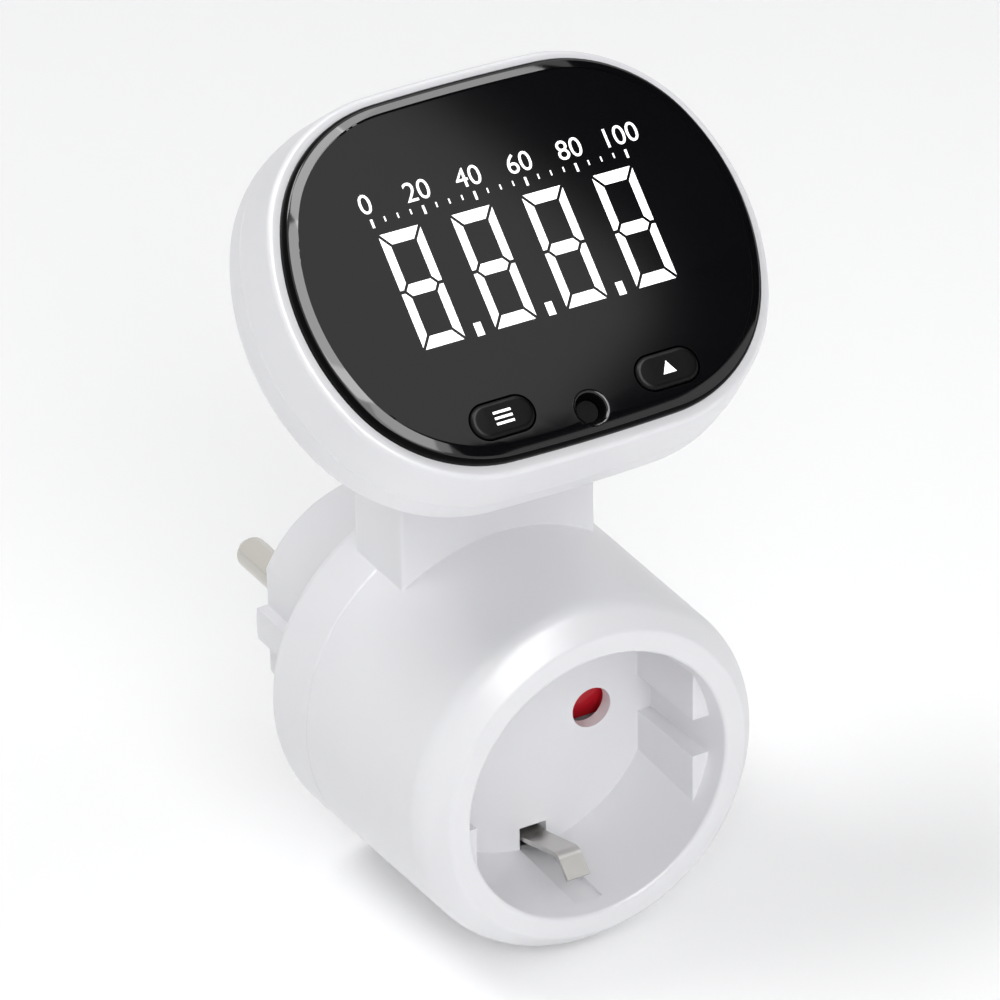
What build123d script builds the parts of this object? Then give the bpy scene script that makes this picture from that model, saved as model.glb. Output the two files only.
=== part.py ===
from build123d import *
import math
import os

# Smart energy monitor for a wall socket: a round barrel with a socket in its front and a plug on
# its back, and a tilted display head on a short hollow neck.
# The origin is the centre of the plug's end face. +Y points into the wall and +Z is up, so the
# socket faces -Y. All lengths are millimetres, and angles are degrees.

os.makedirs("parts", exist_ok=True)

# General clearances
slide_gap = 0.25
seat_gap = 0.1

# Plug pins and the contacts that take such pins
pin_spacing = 19.0
pin_diameter = 4.8
pin_length = 19.0
pin_tip_length = 2.0
pin_tip_radius = 1.0
pin_groove_depth = 0.2
pin_groove_reach = 0.3
pin_flange_radius = 3.4
pin_flange_depth = 1.6
pin_tail_radius = 1.6
pin_tail_depth = 6.0
contact_gap = 0.05
contact_wall = 0.6
contact_length = 11.4
contact_slit = 0.7
contact_slit_length = 8.0
contact_collar = 1.0
strap_width = 4.0

# Plug body
plug_radius = 18.4
plug_depth = 19.4
plug_flat = 16.5
plug_rib = 5.0
plug_edge_radius = 1.2
plug_bore_radius = 13.6
plug_face_wall = 3.2
earth_groove_width = 6.4
earth_groove_floor = 17.0
earth_strip_width = 5.0
earth_strip_thickness = 0.8

# Barrel
barrel_depth = 43.0
parting_depth = 32.3
ring_radius = 22.9
nose_radius = 26.1
nose_depth = 3.65
rear_radius = 26.9
barrel_wall = 2.0
nose_wall = 2.2
ring_edge_radius = 0.8
nose_edge_radius = 5.0
rear_edge_radius = 2.4
parting_groove = 0.25

# Socket well
well_radius = 19.75
well_floor_radius = 19.1
well_depth = 17.8
well_wall = 1.9
floor_thickness = 2.0
lip_radius = 0.6
guide_flat = 16.85
guide_setback = 3.8
guide_groove = 5.7
pin_hole_radius = 3.0

# Cross recess of every screw, as shares of its head
recess_length_share = 1.2
recess_width_share = 0.3
recess_depth_share = 0.5

# Screws that join the barrel's halves, and their bosses
boss_radius = 2.9
rear_boss_radius = 3.4
boss_ring_radius = 21.9
boss_angles = (42.0, 138.0, 222.0, 318.0)
screw_radius = 1.3
screw_head_radius = 2.4
screw_head_depth = 1.8
screw_recess_depth = 4.0
screw_bite = 7.0

# Neck
neck_width = 29.9
neck_depth = 12.9
neck_setback = 25.5
neck_wall = 2.0
neck_end_block = 6.5
neck_edge_radius = 0.5
duct_width = 7.6
duct_depth = 5.8

# Earth clips of the socket
clip_width = 3.5
clip_thickness = 0.7
clip_slot_width = 4.2
clip_channel_floor = 19.9
clip_channel_setback = 3.2
clip_arm_height = 17.7
clip_crest_height = 14.9
clip_crest_setback = 8.6
clip_tip_height = 17.6
clip_tip_setback = 5.9
clip_bend_radius = 1.4
clip_slot_height = 15.6
earth_bar_gap = 16.0

# Shutter behind the pin holes
shutter_space = 2.8
shutter_half_width = 14.2
shutter_cover = 3.8
shutter_window = 6.6
shutter_bar = 1.8
shutter_ramp_edge = 0.5
shutter_edge_radius = 1.0
spring_radius = 1.0
spring_wire = 0.18
spring_turns = 6
spring_lug = 1.6
spring_seat_height = 14.4

# Carrier that holds the socket contacts
carrier_thickness = 3.0
carrier_half_width = 19.6
carrier_side_height = 9.0
carrier_middle_width = 12.8
carrier_screw_x = 18.1
carrier_screw_z = 6.0
carrier_screw_radius = 0.9
carrier_screw_head_radius = 1.7
carrier_screw_head_depth = 1.2
carrier_screw_bite = 5.0

# Insulating retainer over the pins' flanges, on two posts
retainer_thickness = 2.6
retainer_post_z = 8.5
retainer_post_radius = 2.4
retainer_screw_radius = 0.9
retainer_screw_head_radius = 1.7
retainer_screw_head_depth = 1.2
retainer_screw_bite = 3.4

# Metering board in the barrel, and what stands on it
board_thickness = 1.6
main_board_radius = 16.8
board_window_width = 7.0
board_window_height = 9.0
board_screw_place = 10.8
board_screw_radius = 0.9
board_screw_head_radius = 1.6
board_screw_head_depth = 1.1
board_screw_bite = 5.0
film_capacitor_size = (8.6, 6.6, 9.0)
film_capacitor_place = (-6.8, -8.9)
film_capacitor_edge = 0.6
can_radius = 3.1
can_height = 9.5
can_place = (-6.1, 9.2)
can_edge = 0.5
varistor_radius = 3.9
varistor_thickness = 2.2
varistor_place = (4.4, -10.0)
varistor_edge = 0.9
chip_size = (6.0, 5.0, 1.7)
chip_place = (0.0, 0.0)
chip_edge = 0.3
shunt_width = 3.4
shunt_thickness = 1.0
shunt_lap = 2.4
shunt_notch = 0.7
tab_radius = 3.1
tab_thickness = 0.8
tab_inset = 1.2

# Display head. Its face is a plane tilted back, and depths go from that plane into the head.
head_setback = 18.2
head_height = 70.45
head_tilt = 45.0
face_half_width = 33.0
face_half_height = 25.2
crown_radius_share = 10.6
cheek_radius_share = 0.955
corner_radius_share = 0.81
face_rise = 2.0
rim_width = 1.65
rim_round = 0.8
rim_wall = 1.6
bezel_depth = 7.5
bezel_growth = 1.25
head_depth = 14.0
shell_growth = 0.45
shell_wall = 2.2
side_wall = 1.3
back_edge_radius = 3.2
joint_groove = 0.2
panel_gap = 0.08
panel_wall = 2.2
panel_flange = 0.45
panel_flange_depth = 0.8
panel_edge_wall = 1.4
neck_seat = 0.8

# Screws of the head
head_boss_radius = 3.3
head_boss_angle = 41.0
head_boss_reach = 18.0
head_boss_web = 0.9
head_screw_radius = 1.2
head_screw_head_radius = 2.1
head_screw_head_depth = 1.5
head_screw_bite = 4.4
head_screw_recess = 1.4
neck_screw_x = 11.9
neck_screw_inset = 1.7
neck_screw_rear_inset = 1.1
neck_screw_bite = 4.6
neck_screw_radius = 1.0
neck_screw_head_radius = 1.8
neck_screw_head_depth = 1.2

# Digits on the face
digit_count = 4
digit_pitch = 10.6
digit_width = 6.3
digit_height = 16.3
digit_bar_height = 1.8
digit_bar_width = 1.35
digit_gap = 0.16
digit_row_height = -0.3
point_width = 1.25
point_height = 2.0
point_drop = 0.2

# Keys on the face
key_x_share = 0.3727
key_drop_share = 0.7778
key_length = 9.6
key_height = 5.2
key_gap = 0.2
key_rise = 0.45
key_round = 0.7
key_flange = 0.7
key_flange_depth = 0.6
stem_radius = 0.9
stem_reach = 0.9
reset_drop_share = 0.8611
reset_mouth_radius = 2.35
reset_bore_radius = 1.6
reset_funnel_depth = 1.3
reset_radius = 1.5
reset_depth = 1.5
reset_flange = 0.3

# Display board, display module and switches
board_inset = 1.6
display_board_depth = 4.3
module_width = 43.0
module_height = 20.0
module_edge = 0.4
board_notch_gap = 0.4
switch_side = 5.0
switch_height = 1.6
switch_bore_gap = 0.1
board_post_x = 19.0
board_post_y = 14.5
board_post_radius = 1.6
connector_size = (7.4, 4.0, 2.4)
connector_edge = 0.3

# Ribbon cable between the boards
ribbon_x = 6.0
ribbon_width = 6.0
ribbon_thickness = 0.8
ribbon_bend_radius = 2.2
ribbon_start_height = 11.2
ribbon_line_depth = 1.1
ribbon_head_depth = 9.6

# Places along the barrel's axis, on +Y
rear_y = -plug_depth
ring_y = rear_y - barrel_depth
nose_y = ring_y + nose_depth
parting_y = ring_y + parting_depth
floor_y = ring_y + well_depth
floor_back_y = floor_y + floor_thickness
shutter_mid_y = floor_back_y + shutter_space / 2
carrier_front_y = floor_back_y + shutter_space
carrier_back_y = carrier_front_y + carrier_thickness
contact_back_y = carrier_front_y + contact_length
rear_wall_y = rear_y - barrel_wall
board_front_y = rear_wall_y - board_thickness
plug_wall_y = -plug_face_wall
retainer_back_y = plug_wall_y - pin_flange_depth
retainer_front_y = retainer_back_y - retainer_thickness
tail_front_y = plug_wall_y - pin_flange_depth - pin_tail_depth
earth_bar_y = floor_back_y + earth_bar_gap
neck_front_y = ring_y + neck_setback
neck_rear_y = neck_front_y + neck_depth
pin_radius = pin_diameter / 2
key_x = key_x_share * face_half_width
key_y = -key_drop_share * face_half_height
reset_y = -reset_drop_share * face_half_height
pin_x = pin_spacing / 2
contact_radius = pin_radius + contact_gap + contact_wall
tab_y = tail_front_y + tab_inset + tab_thickness

# The head's face plane: local X is the width, local Y runs up the face, local Z comes out of it
tilt_cosine = math.cos(math.radians(head_tilt))
tilt_sine = math.sin(math.radians(head_tilt))
head_y = ring_y + head_setback
face_plane = Plane(
    origin=(0, head_y, head_height),
    x_dir=(1, 0, 0),
    z_dir=(0, -tilt_cosine, tilt_sine),
)


def across(y):
    """Plane square to the barrel's axis at y. Its normal looks out of the socket."""
    return Plane.XZ.offset(-y)


def at_depth(depth):
    """Plane parallel to the face, depth inside the head."""
    return face_plane.offset(-depth)


def side_radius(y):
    """Outer radius of the barrel, which widens slightly towards the wall."""
    return nose_radius + (rear_radius - nose_radius) * (y - nose_y) / (rear_y - nose_y)


def face_height_at(y, depth):
    """Height up the face plane at which a plane of the given depth meets y."""
    return (y - head_y - depth * tilt_cosine) / tilt_sine


def finish(part, label):
    """Name a finished piece and write it."""
    part.label = label
    export_step(part, f"parts/{label}.step")


# The face outline: a nearly flat crown, rounder cheeks and large corners, all tangent
def corner_centre():
    """Centre of the corner arc, where the crown's and the cheek's circles shrink to meet."""
    corner_radius = corner_radius_share * face_half_height
    crown_radius = crown_radius_share * face_half_width
    cheek_radius = cheek_radius_share * face_half_width
    crown_centre = Vector(0, face_half_height - crown_radius)
    cheek_centre = Vector(face_half_width - cheek_radius, 0)
    crown_reach = crown_radius - corner_radius
    cheek_reach = cheek_radius - corner_radius
    between = cheek_centre - crown_centre
    span = between.length
    along = (crown_reach**2 - cheek_reach**2 + span**2) / (2 * span)
    aside = math.sqrt(crown_reach**2 - along**2)
    unit = between.normalized()
    side = Vector(unit.Y, -unit.X)
    return crown_centre, cheek_centre, crown_centre + unit * along + side * aside


def face_outline(grow):
    """Closed outline of the face, grown by a distance, in the sketch that is open."""
    crown_centre, cheek_centre, corner = corner_centre()
    corner_radius = corner_radius_share * face_half_height + grow
    crown_end = corner + (corner - crown_centre).normalized() * corner_radius
    cheek_end = corner + (corner - cheek_centre).normalized() * corner_radius
    with BuildLine() as outline:
        crown = TangentArc((0, face_half_height + grow), crown_end, tangent=(1, 0))
        bend = TangentArc(crown @ 1, cheek_end, tangent=crown % 1)
        TangentArc(bend @ 1, (face_half_width + grow, 0), tangent=bend % 1)
        mirror(about=Plane.XZ)
        mirror(about=Plane.YZ)
    make_face(outline.edges())


def face_slab(depth, grow, next_depth, next_grow, mode=Mode.ADD):
    """Loft between two face outlines at two depths, in the part that is open."""
    with BuildSketch(at_depth(depth)) as near:
        face_outline(grow)
    with BuildSketch(at_depth(next_depth)) as far:
        face_outline(next_grow)
    loft([near.sketch, far.sketch], ruled=True, mode=mode)


def neck_prism(y_low, y_high, top_depth, root_z, width, x=0, mode=Mode.ADD):
    """Upright box of the neck between two y, cut along the head's slope at top_depth."""
    with BuildPart(mode=Mode.PRIVATE) as prism:
        with BuildSketch(Plane.XY.offset(root_z)):
            with Locations((x, (y_low + y_high) / 2)):
                Rectangle(width, y_high - y_low)
        extrude(amount=head_height + face_half_height - root_z)
        split(bisect_by=at_depth(top_depth), keep=Keep.BOTTOM)
    add(prism.part, mode=mode)


# Front housing: barrel front, socket well and the neck's front half
neck_top_depth = head_depth - neck_seat
duct_front_y = parting_y - duct_depth / 2
duct_rear_y = parting_y + duct_depth / 2
boss_places = [
    (boss_ring_radius * math.cos(math.radians(a)), boss_ring_radius * math.sin(math.radians(a)))
    for a in boss_angles
]
carrier_screw_places = [
    (carrier_screw_x, carrier_screw_z),
    (-carrier_screw_x, -carrier_screw_z),
]
board_screw_places = [
    (board_screw_place, -board_screw_place),
    (-board_screw_place, board_screw_place),
]
neck_screw_rows = (
    face_height_at(neck_front_y + neck_screw_inset, neck_top_depth),
    face_height_at(parting_y + neck_screw_rear_inset, neck_top_depth),
)
neck_screw_places = [(x, v) for v in neck_screw_rows for x in (neck_screw_x, -neck_screw_x)]

with BuildPart() as front_housing:
    with BuildSketch(Plane.XY):
        with BuildLine():
            FilletPolyline(
                (0, ring_y),
                (ring_radius, ring_y),
                (nose_radius, nose_y),
                (side_radius(parting_y), parting_y - parting_groove),
                (side_radius(parting_y) - parting_groove, parting_y),
                (0, parting_y),
                radius=[0, ring_edge_radius, nose_edge_radius, 0, 0, 0],
                close=True,
            )
        make_face()
    revolve(axis=Axis.Y)
    neck_prism(neck_front_y, parting_y, neck_top_depth, well_floor_radius, neck_width)
    fillet(front_housing.edges().filter_by(Axis.Z).group_by(Axis.Y)[0], neck_edge_radius)
    with BuildSketch(Plane.XY):
        with BuildLine():
            Polyline(
                (0, floor_back_y),
                (well_floor_radius + well_wall, floor_back_y),
                (well_radius + well_wall, ring_y + nose_wall),
                (nose_radius - barrel_wall, nose_y + nose_wall / 2),
                (side_radius(parting_y) - barrel_wall, parting_y),
                (0, parting_y),
                close=True,
            )
        make_face()
    revolve(axis=Axis.Y, mode=Mode.SUBTRACT)
    neck_prism(
        neck_front_y + neck_wall,
        parting_y,
        neck_top_depth + neck_end_block,
        0,
        neck_width - 2 * neck_wall,
        mode=Mode.SUBTRACT,
    )
    neck_prism(duct_front_y, parting_y, 0, 0, duct_width, ribbon_x, mode=Mode.SUBTRACT)

    # The well, with its rounded lip
    with BuildSketch(Plane.XY):
        with BuildLine():
            Polyline(
                (0, ring_y),
                (0, floor_y),
                (well_floor_radius, floor_y),
                (well_radius, ring_y),
                close=True,
            )
        make_face()
    revolve(axis=Axis.Y, mode=Mode.SUBTRACT)
    lip = front_housing.edges().filter_by(GeomType.CIRCLE).group_by(Axis.Y)[0].sort_by(SortBy.RADIUS)
    fillet(lip[0], lip_radius)

    # Two flat guides, each with a groove, that turn the plug the right way round
    with BuildSketch(across(floor_y)):
        Circle(well_floor_radius + well_wall / 2)
        Rectangle(2 * guide_flat, 2 * (well_radius + well_wall), mode=Mode.SUBTRACT)
        Rectangle(2 * (well_radius + well_wall), guide_groove, mode=Mode.SUBTRACT)
    extrude(amount=floor_y - ring_y - guide_setback)

    # Pin holes, and a slot and a channel for each earth clip
    with BuildSketch(across(floor_back_y)):
        with GridLocations(pin_spacing, 0, 2, 1):
            Circle(pin_hole_radius)
    extrude(amount=floor_thickness, mode=Mode.SUBTRACT)
    with BuildSketch(across(floor_back_y)):
        for side in (1, -1):
            slot_height = clip_channel_floor - clip_slot_height
            with Locations((0, side * (clip_slot_height + slot_height / 2))):
                Rectangle(clip_slot_width, slot_height)
    extrude(amount=floor_back_y - ring_y - clip_channel_setback, mode=Mode.SUBTRACT)

    # Bosses for the housing screws, on the wall behind the well
    with BuildSketch(across(parting_y)):
        with Locations(*boss_places):
            Circle(boss_radius)
        Circle(side_radius(parting_y) - barrel_wall / 2, mode=Mode.INTERSECT)
    extrude(amount=parting_y - floor_y)
    with BuildSketch(across(parting_y)):
        with Locations(*boss_places):
            Circle(screw_radius + seat_gap)
    extrude(amount=screw_bite, mode=Mode.SUBTRACT)

    # Screw holes for the contact carrier, and for the head
    with BuildSketch(across(floor_back_y)):
        with Locations(*carrier_screw_places):
            Circle(carrier_screw_radius + seat_gap)
    extrude(amount=carrier_screw_bite, mode=Mode.SUBTRACT)
    with BuildSketch(at_depth(neck_top_depth)):
        with Locations(*neck_screw_places[:2]):
            Circle(neck_screw_radius + seat_gap)
    extrude(amount=-neck_screw_bite, mode=Mode.SUBTRACT)
finish(front_housing.part, "front_housing")

# Rear housing: barrel back, plug body and the neck's rear half
with BuildPart() as rear_housing:
    with BuildSketch(Plane.XY):
        with BuildLine():
            FilletPolyline(
                (0, parting_y),
                (side_radius(parting_y) - parting_groove, parting_y),
                (side_radius(parting_y), parting_y + parting_groove),
                (rear_radius, rear_y),
                (0, rear_y),
                radius=[0, 0, 0, rear_edge_radius, 0],
                close=True,
            )
        make_face()
    revolve(axis=Axis.Y)
    neck_prism(parting_y, neck_rear_y, neck_top_depth, well_floor_radius, neck_width)
    fillet(rear_housing.edges().filter_by(Axis.Z).group_by(Axis.Y)[-1], neck_edge_radius)
    with BuildSketch(across(0)):
        Circle(plug_radius)
        with GridLocations(2 * plug_radius + 2 * plug_flat, 0, 2, 1):
            Rectangle(2 * plug_radius, 2 * plug_radius, mode=Mode.SUBTRACT)
        with GridLocations(0, 2 * plug_radius + 2 * earth_groove_floor, 1, 2):
            Rectangle(earth_groove_width, 2 * plug_radius, mode=Mode.SUBTRACT)
        with BuildSketch(mode=Mode.PRIVATE) as ribs:
            Circle(plug_radius)
            Rectangle(2 * plug_radius, plug_rib, mode=Mode.INTERSECT)
        add(ribs.sketch)
    extrude(amount=plug_depth)
    fillet(rear_housing.faces().sort_by(Axis.Y)[-1].outer_wire().edges(), plug_edge_radius)
    with BuildSketch(Plane.XY):
        with BuildLine():
            Polyline(
                (0, parting_y),
                (side_radius(parting_y) - barrel_wall, parting_y),
                (rear_radius - barrel_wall, rear_wall_y),
                (plug_bore_radius, rear_wall_y),
                (plug_bore_radius, plug_wall_y),
                (0, plug_wall_y),
                close=True,
            )
        make_face()
    revolve(axis=Axis.Y, mode=Mode.SUBTRACT)
    neck_prism(
        parting_y,
        neck_rear_y - neck_wall,
        neck_top_depth + neck_end_block,
        0,
        neck_width - 2 * neck_wall,
        mode=Mode.SUBTRACT,
    )
    neck_prism(parting_y, duct_rear_y, 0, 0, duct_width, ribbon_x, mode=Mode.SUBTRACT)

    # Pin holes in the plug's end wall, two posts for the retainer, slots for the earth strips
    with BuildSketch(across(retainer_back_y)):
        with GridLocations(0, 2 * retainer_post_z, 1, 2):
            Circle(retainer_post_radius)
    extrude(amount=-pin_flange_depth)
    with BuildSketch(across(retainer_back_y)):
        with GridLocations(0, 2 * retainer_post_z, 1, 2):
            Circle(retainer_screw_radius)
    extrude(amount=-retainer_screw_bite, mode=Mode.SUBTRACT)
    with BuildSketch(across(0)):
        with GridLocations(pin_spacing, 0, 2, 1):
            Circle(pin_radius + contact_gap)
    extrude(amount=plug_face_wall, mode=Mode.SUBTRACT)
    with BuildSketch(across(rear_y)):
        with GridLocations(0, 2 * earth_groove_floor + earth_strip_thickness, 1, 2):
            Rectangle(earth_strip_width + seat_gap, earth_strip_thickness + seat_gap)
    extrude(amount=barrel_wall, mode=Mode.SUBTRACT)

    # Bosses with recessed screw seats that open to the back
    with BuildSketch(across(rear_wall_y)):
        with Locations(*boss_places):
            Circle(rear_boss_radius)
        Circle(side_radius(parting_y) - barrel_wall / 2, mode=Mode.INTERSECT)
    extrude(amount=rear_wall_y - parting_y)
    with BuildSketch(across(rear_y)):
        with Locations(*boss_places):
            Circle(screw_radius + seat_gap)
    extrude(amount=rear_y - parting_y, mode=Mode.SUBTRACT)
    with BuildSketch(across(rear_y)):
        with Locations(*boss_places):
            Circle(screw_head_radius + seat_gap)
    extrude(amount=screw_recess_depth, mode=Mode.SUBTRACT)

    # Screw holes for the metering board, and for the head
    with BuildSketch(across(rear_wall_y)):
        with Locations(*board_screw_places):
            Circle(board_screw_radius + seat_gap)
    extrude(amount=-board_screw_bite, mode=Mode.SUBTRACT)
    with BuildSketch(at_depth(neck_top_depth)):
        with Locations(*neck_screw_places[2:]):
            Circle(neck_screw_radius + seat_gap)
    extrude(amount=-neck_screw_bite, mode=Mode.SUBTRACT)
finish(rear_housing.part, "rear_housing")


# Screws: a head on the seat plane with a cross recess, and a shank below it
def screws(seat, places, shank_radius, length, head_radius, head_depth):
    """Pan-head screws at places on a seat plane, in the part that is open."""
    with BuildSketch(seat) as shanks:
        with Locations(*places):
            Circle(shank_radius)
    extrude(shanks.sketch, amount=-length)
    with BuildSketch(seat) as heads:
        with Locations(*places):
            Circle(head_radius)
    extrude(heads.sketch, amount=head_depth)
    with BuildSketch(seat.offset(head_depth)) as recesses:
        with Locations(*places):
            Rectangle(head_radius * recess_length_share, head_radius * recess_width_share)
            Rectangle(head_radius * recess_width_share, head_radius * recess_length_share)
    extrude(recesses.sketch, amount=-head_depth * recess_depth_share, mode=Mode.SUBTRACT)


# A strip bent from sheet: its line is drawn on the upright plane along the barrel's axis
def strip(points, bends, thickness, width, x=0):
    """Bend a strip along points (y, z) with the given bend radii, in the part that is open."""
    with BuildSketch(Plane.YZ.offset(x)) as section:
        with BuildLine() as line:
            FilletPolyline(*points, radius=bends)
        trace(line.line, thickness)
    extrude(section.sketch, amount=width / 2, both=True)


with BuildPart() as housing_screws:
    seat = Plane(origin=(0, rear_y - screw_recess_depth, 0), x_dir=(-1, 0, 0), z_dir=(0, 1, 0))
    mirrored_places = [(-x, z) for x, z in boss_places]
    screw_reach = rear_y - screw_recess_depth - parting_y + screw_bite - seat_gap
    screws(seat, mirrored_places, screw_radius, screw_reach, screw_head_radius, screw_head_depth)
finish(housing_screws.part, "housing_screws")

# Shutter: a slide with a ramped cover over both pin holes and a window below each
shutter_front_y = floor_back_y + slide_gap
shutter_back_y = carrier_front_y - slide_gap
shutter_bottom = -shutter_cover - shutter_window - shutter_bar

with BuildPart() as socket_shutter:
    with BuildSketch(across(shutter_back_y)):
        with Locations((0, (shutter_cover + shutter_bottom) / 2)):
            RectangleRounded(
                2 * shutter_half_width,
                shutter_cover - shutter_bottom,
                shutter_edge_radius,
            )
        with Locations((pin_x, -shutter_cover), (-pin_x, -shutter_cover)):
            Rectangle(shutter_window, shutter_window, align=(Align.CENTER, Align.MAX), mode=Mode.SUBTRACT)
    extrude(amount=shutter_back_y - shutter_front_y)
    for side in (1, -1):
        with BuildSketch(Plane.YZ.offset(side * pin_x)):
            with BuildLine():
                Polyline(
                    (shutter_front_y, -shutter_cover),
                    (shutter_front_y, shutter_cover - shutter_bar),
                    (shutter_back_y - shutter_ramp_edge, -shutter_cover),
                    close=True,
                )
            make_face()
        extrude(amount=shutter_window / 2, both=True, mode=Mode.SUBTRACT)
finish(socket_shutter.part, "socket_shutter")

with BuildPart() as shutter_spring:
    spring_height = spring_seat_height - shutter_cover - 2 * (spring_wire + seat_gap)
    spring_base = shutter_cover + spring_wire + seat_gap
    with BuildLine():
        coil = Helix(
            pitch=spring_height / spring_turns,
            height=spring_height,
            radius=spring_radius - spring_wire,
            center=(0, shutter_mid_y, spring_base),
        )
    with BuildSketch(Plane(origin=coil @ 0, z_dir=coil % 0)):
        Circle(spring_wire)
    sweep(path=coil, is_frenet=True)
finish(shutter_spring.part, "shutter_spring")

# Carrier of the socket contacts: a plate with broad sides that reach the well's floor
with BuildPart() as contact_carrier:
    with BuildSketch(across(carrier_back_y)):
        Rectangle(2 * carrier_half_width, 2 * carrier_side_height)
        Rectangle(2 * carrier_middle_width, 2 * (spring_seat_height + spring_lug))
    extrude(amount=carrier_thickness)
    with BuildSketch(across(carrier_front_y)):
        Rectangle(2 * carrier_half_width, 2 * carrier_side_height)
        Rectangle(
            2 * (shutter_half_width + slide_gap), 2 * carrier_side_height, mode=Mode.SUBTRACT
        )
        with Locations((0, spring_seat_height)):
            Rectangle(2 * spring_lug, spring_lug, align=(Align.CENTER, Align.MIN))
    extrude(amount=shutter_space)
    fillet(
        contact_carrier.edges().filter_by(Axis.Y).group_by(Axis.X)[0]
        + contact_carrier.edges().filter_by(Axis.Y).group_by(Axis.X)[-1],
        shutter_edge_radius,
    )
    with BuildSketch(across(carrier_back_y)):
        with GridLocations(pin_spacing, 0, 2, 1):
            Circle(contact_radius + seat_gap)
    extrude(amount=carrier_thickness, mode=Mode.SUBTRACT)
    with BuildSketch(across(carrier_back_y)):
        with Locations(*carrier_screw_places):
            Circle(carrier_screw_radius + seat_gap)
    extrude(amount=carrier_thickness + shutter_space, mode=Mode.SUBTRACT)
finish(contact_carrier.part, "contact_carrier")

with BuildPart() as carrier_screws:
    seat = Plane(origin=(0, carrier_back_y, 0), x_dir=(-1, 0, 0), z_dir=(0, 1, 0))
    screws(
        seat,
        [(-x, z) for x, z in carrier_screw_places],
        carrier_screw_radius,
        carrier_thickness + shutter_space + carrier_screw_bite - seat_gap,
        carrier_screw_head_radius,
        carrier_screw_head_depth,
    )
finish(carrier_screws.part, "carrier_screws")


# Socket contacts: split sleeves with a collar on the carrier's back and a strap below
def contact_sleeve(x):
    """Sleeve of one contact, in the part that is open."""
    with BuildSketch(across(contact_back_y)) as sleeve:
        with Locations((x, 0)):
            Circle(contact_radius)
    extrude(sleeve.sketch, amount=contact_length)
    with BuildSketch(across(carrier_back_y + contact_wall)) as collar:
        with Locations((x, 0)):
            Circle(contact_radius + contact_collar)
    extrude(collar.sketch, amount=contact_wall)


def contact_bore(x):
    """Bore and slits of one contact, in the part that is open."""
    with BuildSketch(across(contact_back_y)) as bore:
        with Locations((x, 0)):
            Circle(pin_radius + contact_gap)
    extrude(bore.sketch, amount=contact_length, mode=Mode.SUBTRACT)
    with BuildSketch(across(carrier_front_y + contact_slit_length)) as slits:
        with Locations((x, 0)):
            Rectangle(contact_slit, 2 * contact_radius + 2 * contact_collar)
    extrude(slits.sketch, amount=contact_slit_length, mode=Mode.SUBTRACT)


strap_z = -(pin_radius + contact_gap + contact_wall / 2)


def strap(x, y_low, y_high, z, width, thickness):
    """Flat strap along the barrel's axis, in the part that is open."""
    with BuildSketch(across(y_high)) as section:
        with Locations((x, z)):
            Rectangle(width, thickness)
    extrude(section.sketch, amount=y_high - y_low)


def tail_tab(x, z):
    """Ring round a pin's tail with a foot down to a strap at z, in the part that is open."""
    with BuildSketch(across(tab_y)) as tab:
        with Locations((x, 0)):
            Circle(tab_radius)
        with Locations((x, z / 2)):
            Rectangle(strap_width, -z)
        with Locations((x, 0)):
            Circle(pin_tail_radius + seat_gap / 2, mode=Mode.SUBTRACT)
    extrude(tab.sketch, amount=tab_thickness)


with BuildPart() as live_contact:
    contact_sleeve(-pin_x)
    strap(-pin_x, contact_back_y - contact_wall, tab_y, strap_z, strap_width, contact_wall)
    contact_bore(-pin_x)
    tail_tab(-pin_x, strap_z - contact_wall / 2)
finish(live_contact.part, "live_contact")

# Neutral path: its contact ends in a lap on the shunt, and the shunt ends round the pin's tail
lap_back_y = board_front_y - contact_wall
shunt_z = strap_z - (contact_wall + shunt_thickness) / 2

with BuildPart() as neutral_contact:
    contact_sleeve(pin_x)
    strap(pin_x, contact_back_y - contact_wall, lap_back_y, strap_z, strap_width, contact_wall)
    contact_bore(pin_x)
finish(neutral_contact.part, "neutral_contact")

with BuildPart() as current_shunt:
    strap(pin_x, lap_back_y - shunt_lap, tab_y, shunt_z, shunt_width, shunt_thickness)
    with BuildSketch(Plane.XY.offset(shunt_z - shunt_thickness / 2)):
        with Locations((pin_x, board_front_y + board_thickness + shunt_width)):
            with GridLocations(shunt_width, 0, 2, 1):
                Circle(shunt_notch)
    extrude(amount=shunt_thickness, mode=Mode.SUBTRACT)
    tail_tab(pin_x, shunt_z + shunt_thickness / 2)
finish(current_shunt.part, "current_shunt")


# Plug pins: a turned pin with a flange behind the end wall and a tail for the strap
def plug_pin(x):
    """One pin of the plug, in the part that is open."""
    with BuildSketch(Plane.XY) as profile:
        with BuildLine():
            FilletPolyline(
                (x, tail_front_y),
                (x + pin_tail_radius, tail_front_y),
                (x + pin_tail_radius, retainer_back_y),
                (x + pin_flange_radius, retainer_back_y),
                (x + pin_flange_radius, plug_wall_y),
                (x + pin_radius, plug_wall_y),
                (x + pin_radius, -pin_groove_reach),
                (x + pin_radius - pin_groove_depth, -pin_groove_reach),
                (x + pin_radius - pin_groove_depth, pin_groove_reach),
                (x + pin_radius, pin_groove_reach),
                (x + pin_radius, pin_length - pin_tip_length),
                (x + pin_tip_radius, pin_length),
                (x, pin_length),
                radius=[0] * 10 + [pin_tip_radius, pin_tip_radius / 2, 0],
                close=True,
            )
        make_face()
    revolve(profile.sketch, axis=Axis((x, 0, 0), (0, 1, 0)))


with BuildPart() as left_pin:
    plug_pin(-pin_x)
finish(left_pin.part, "left_pin")

with BuildPart() as right_pin:
    plug_pin(pin_x)
finish(right_pin.part, "right_pin")

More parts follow.
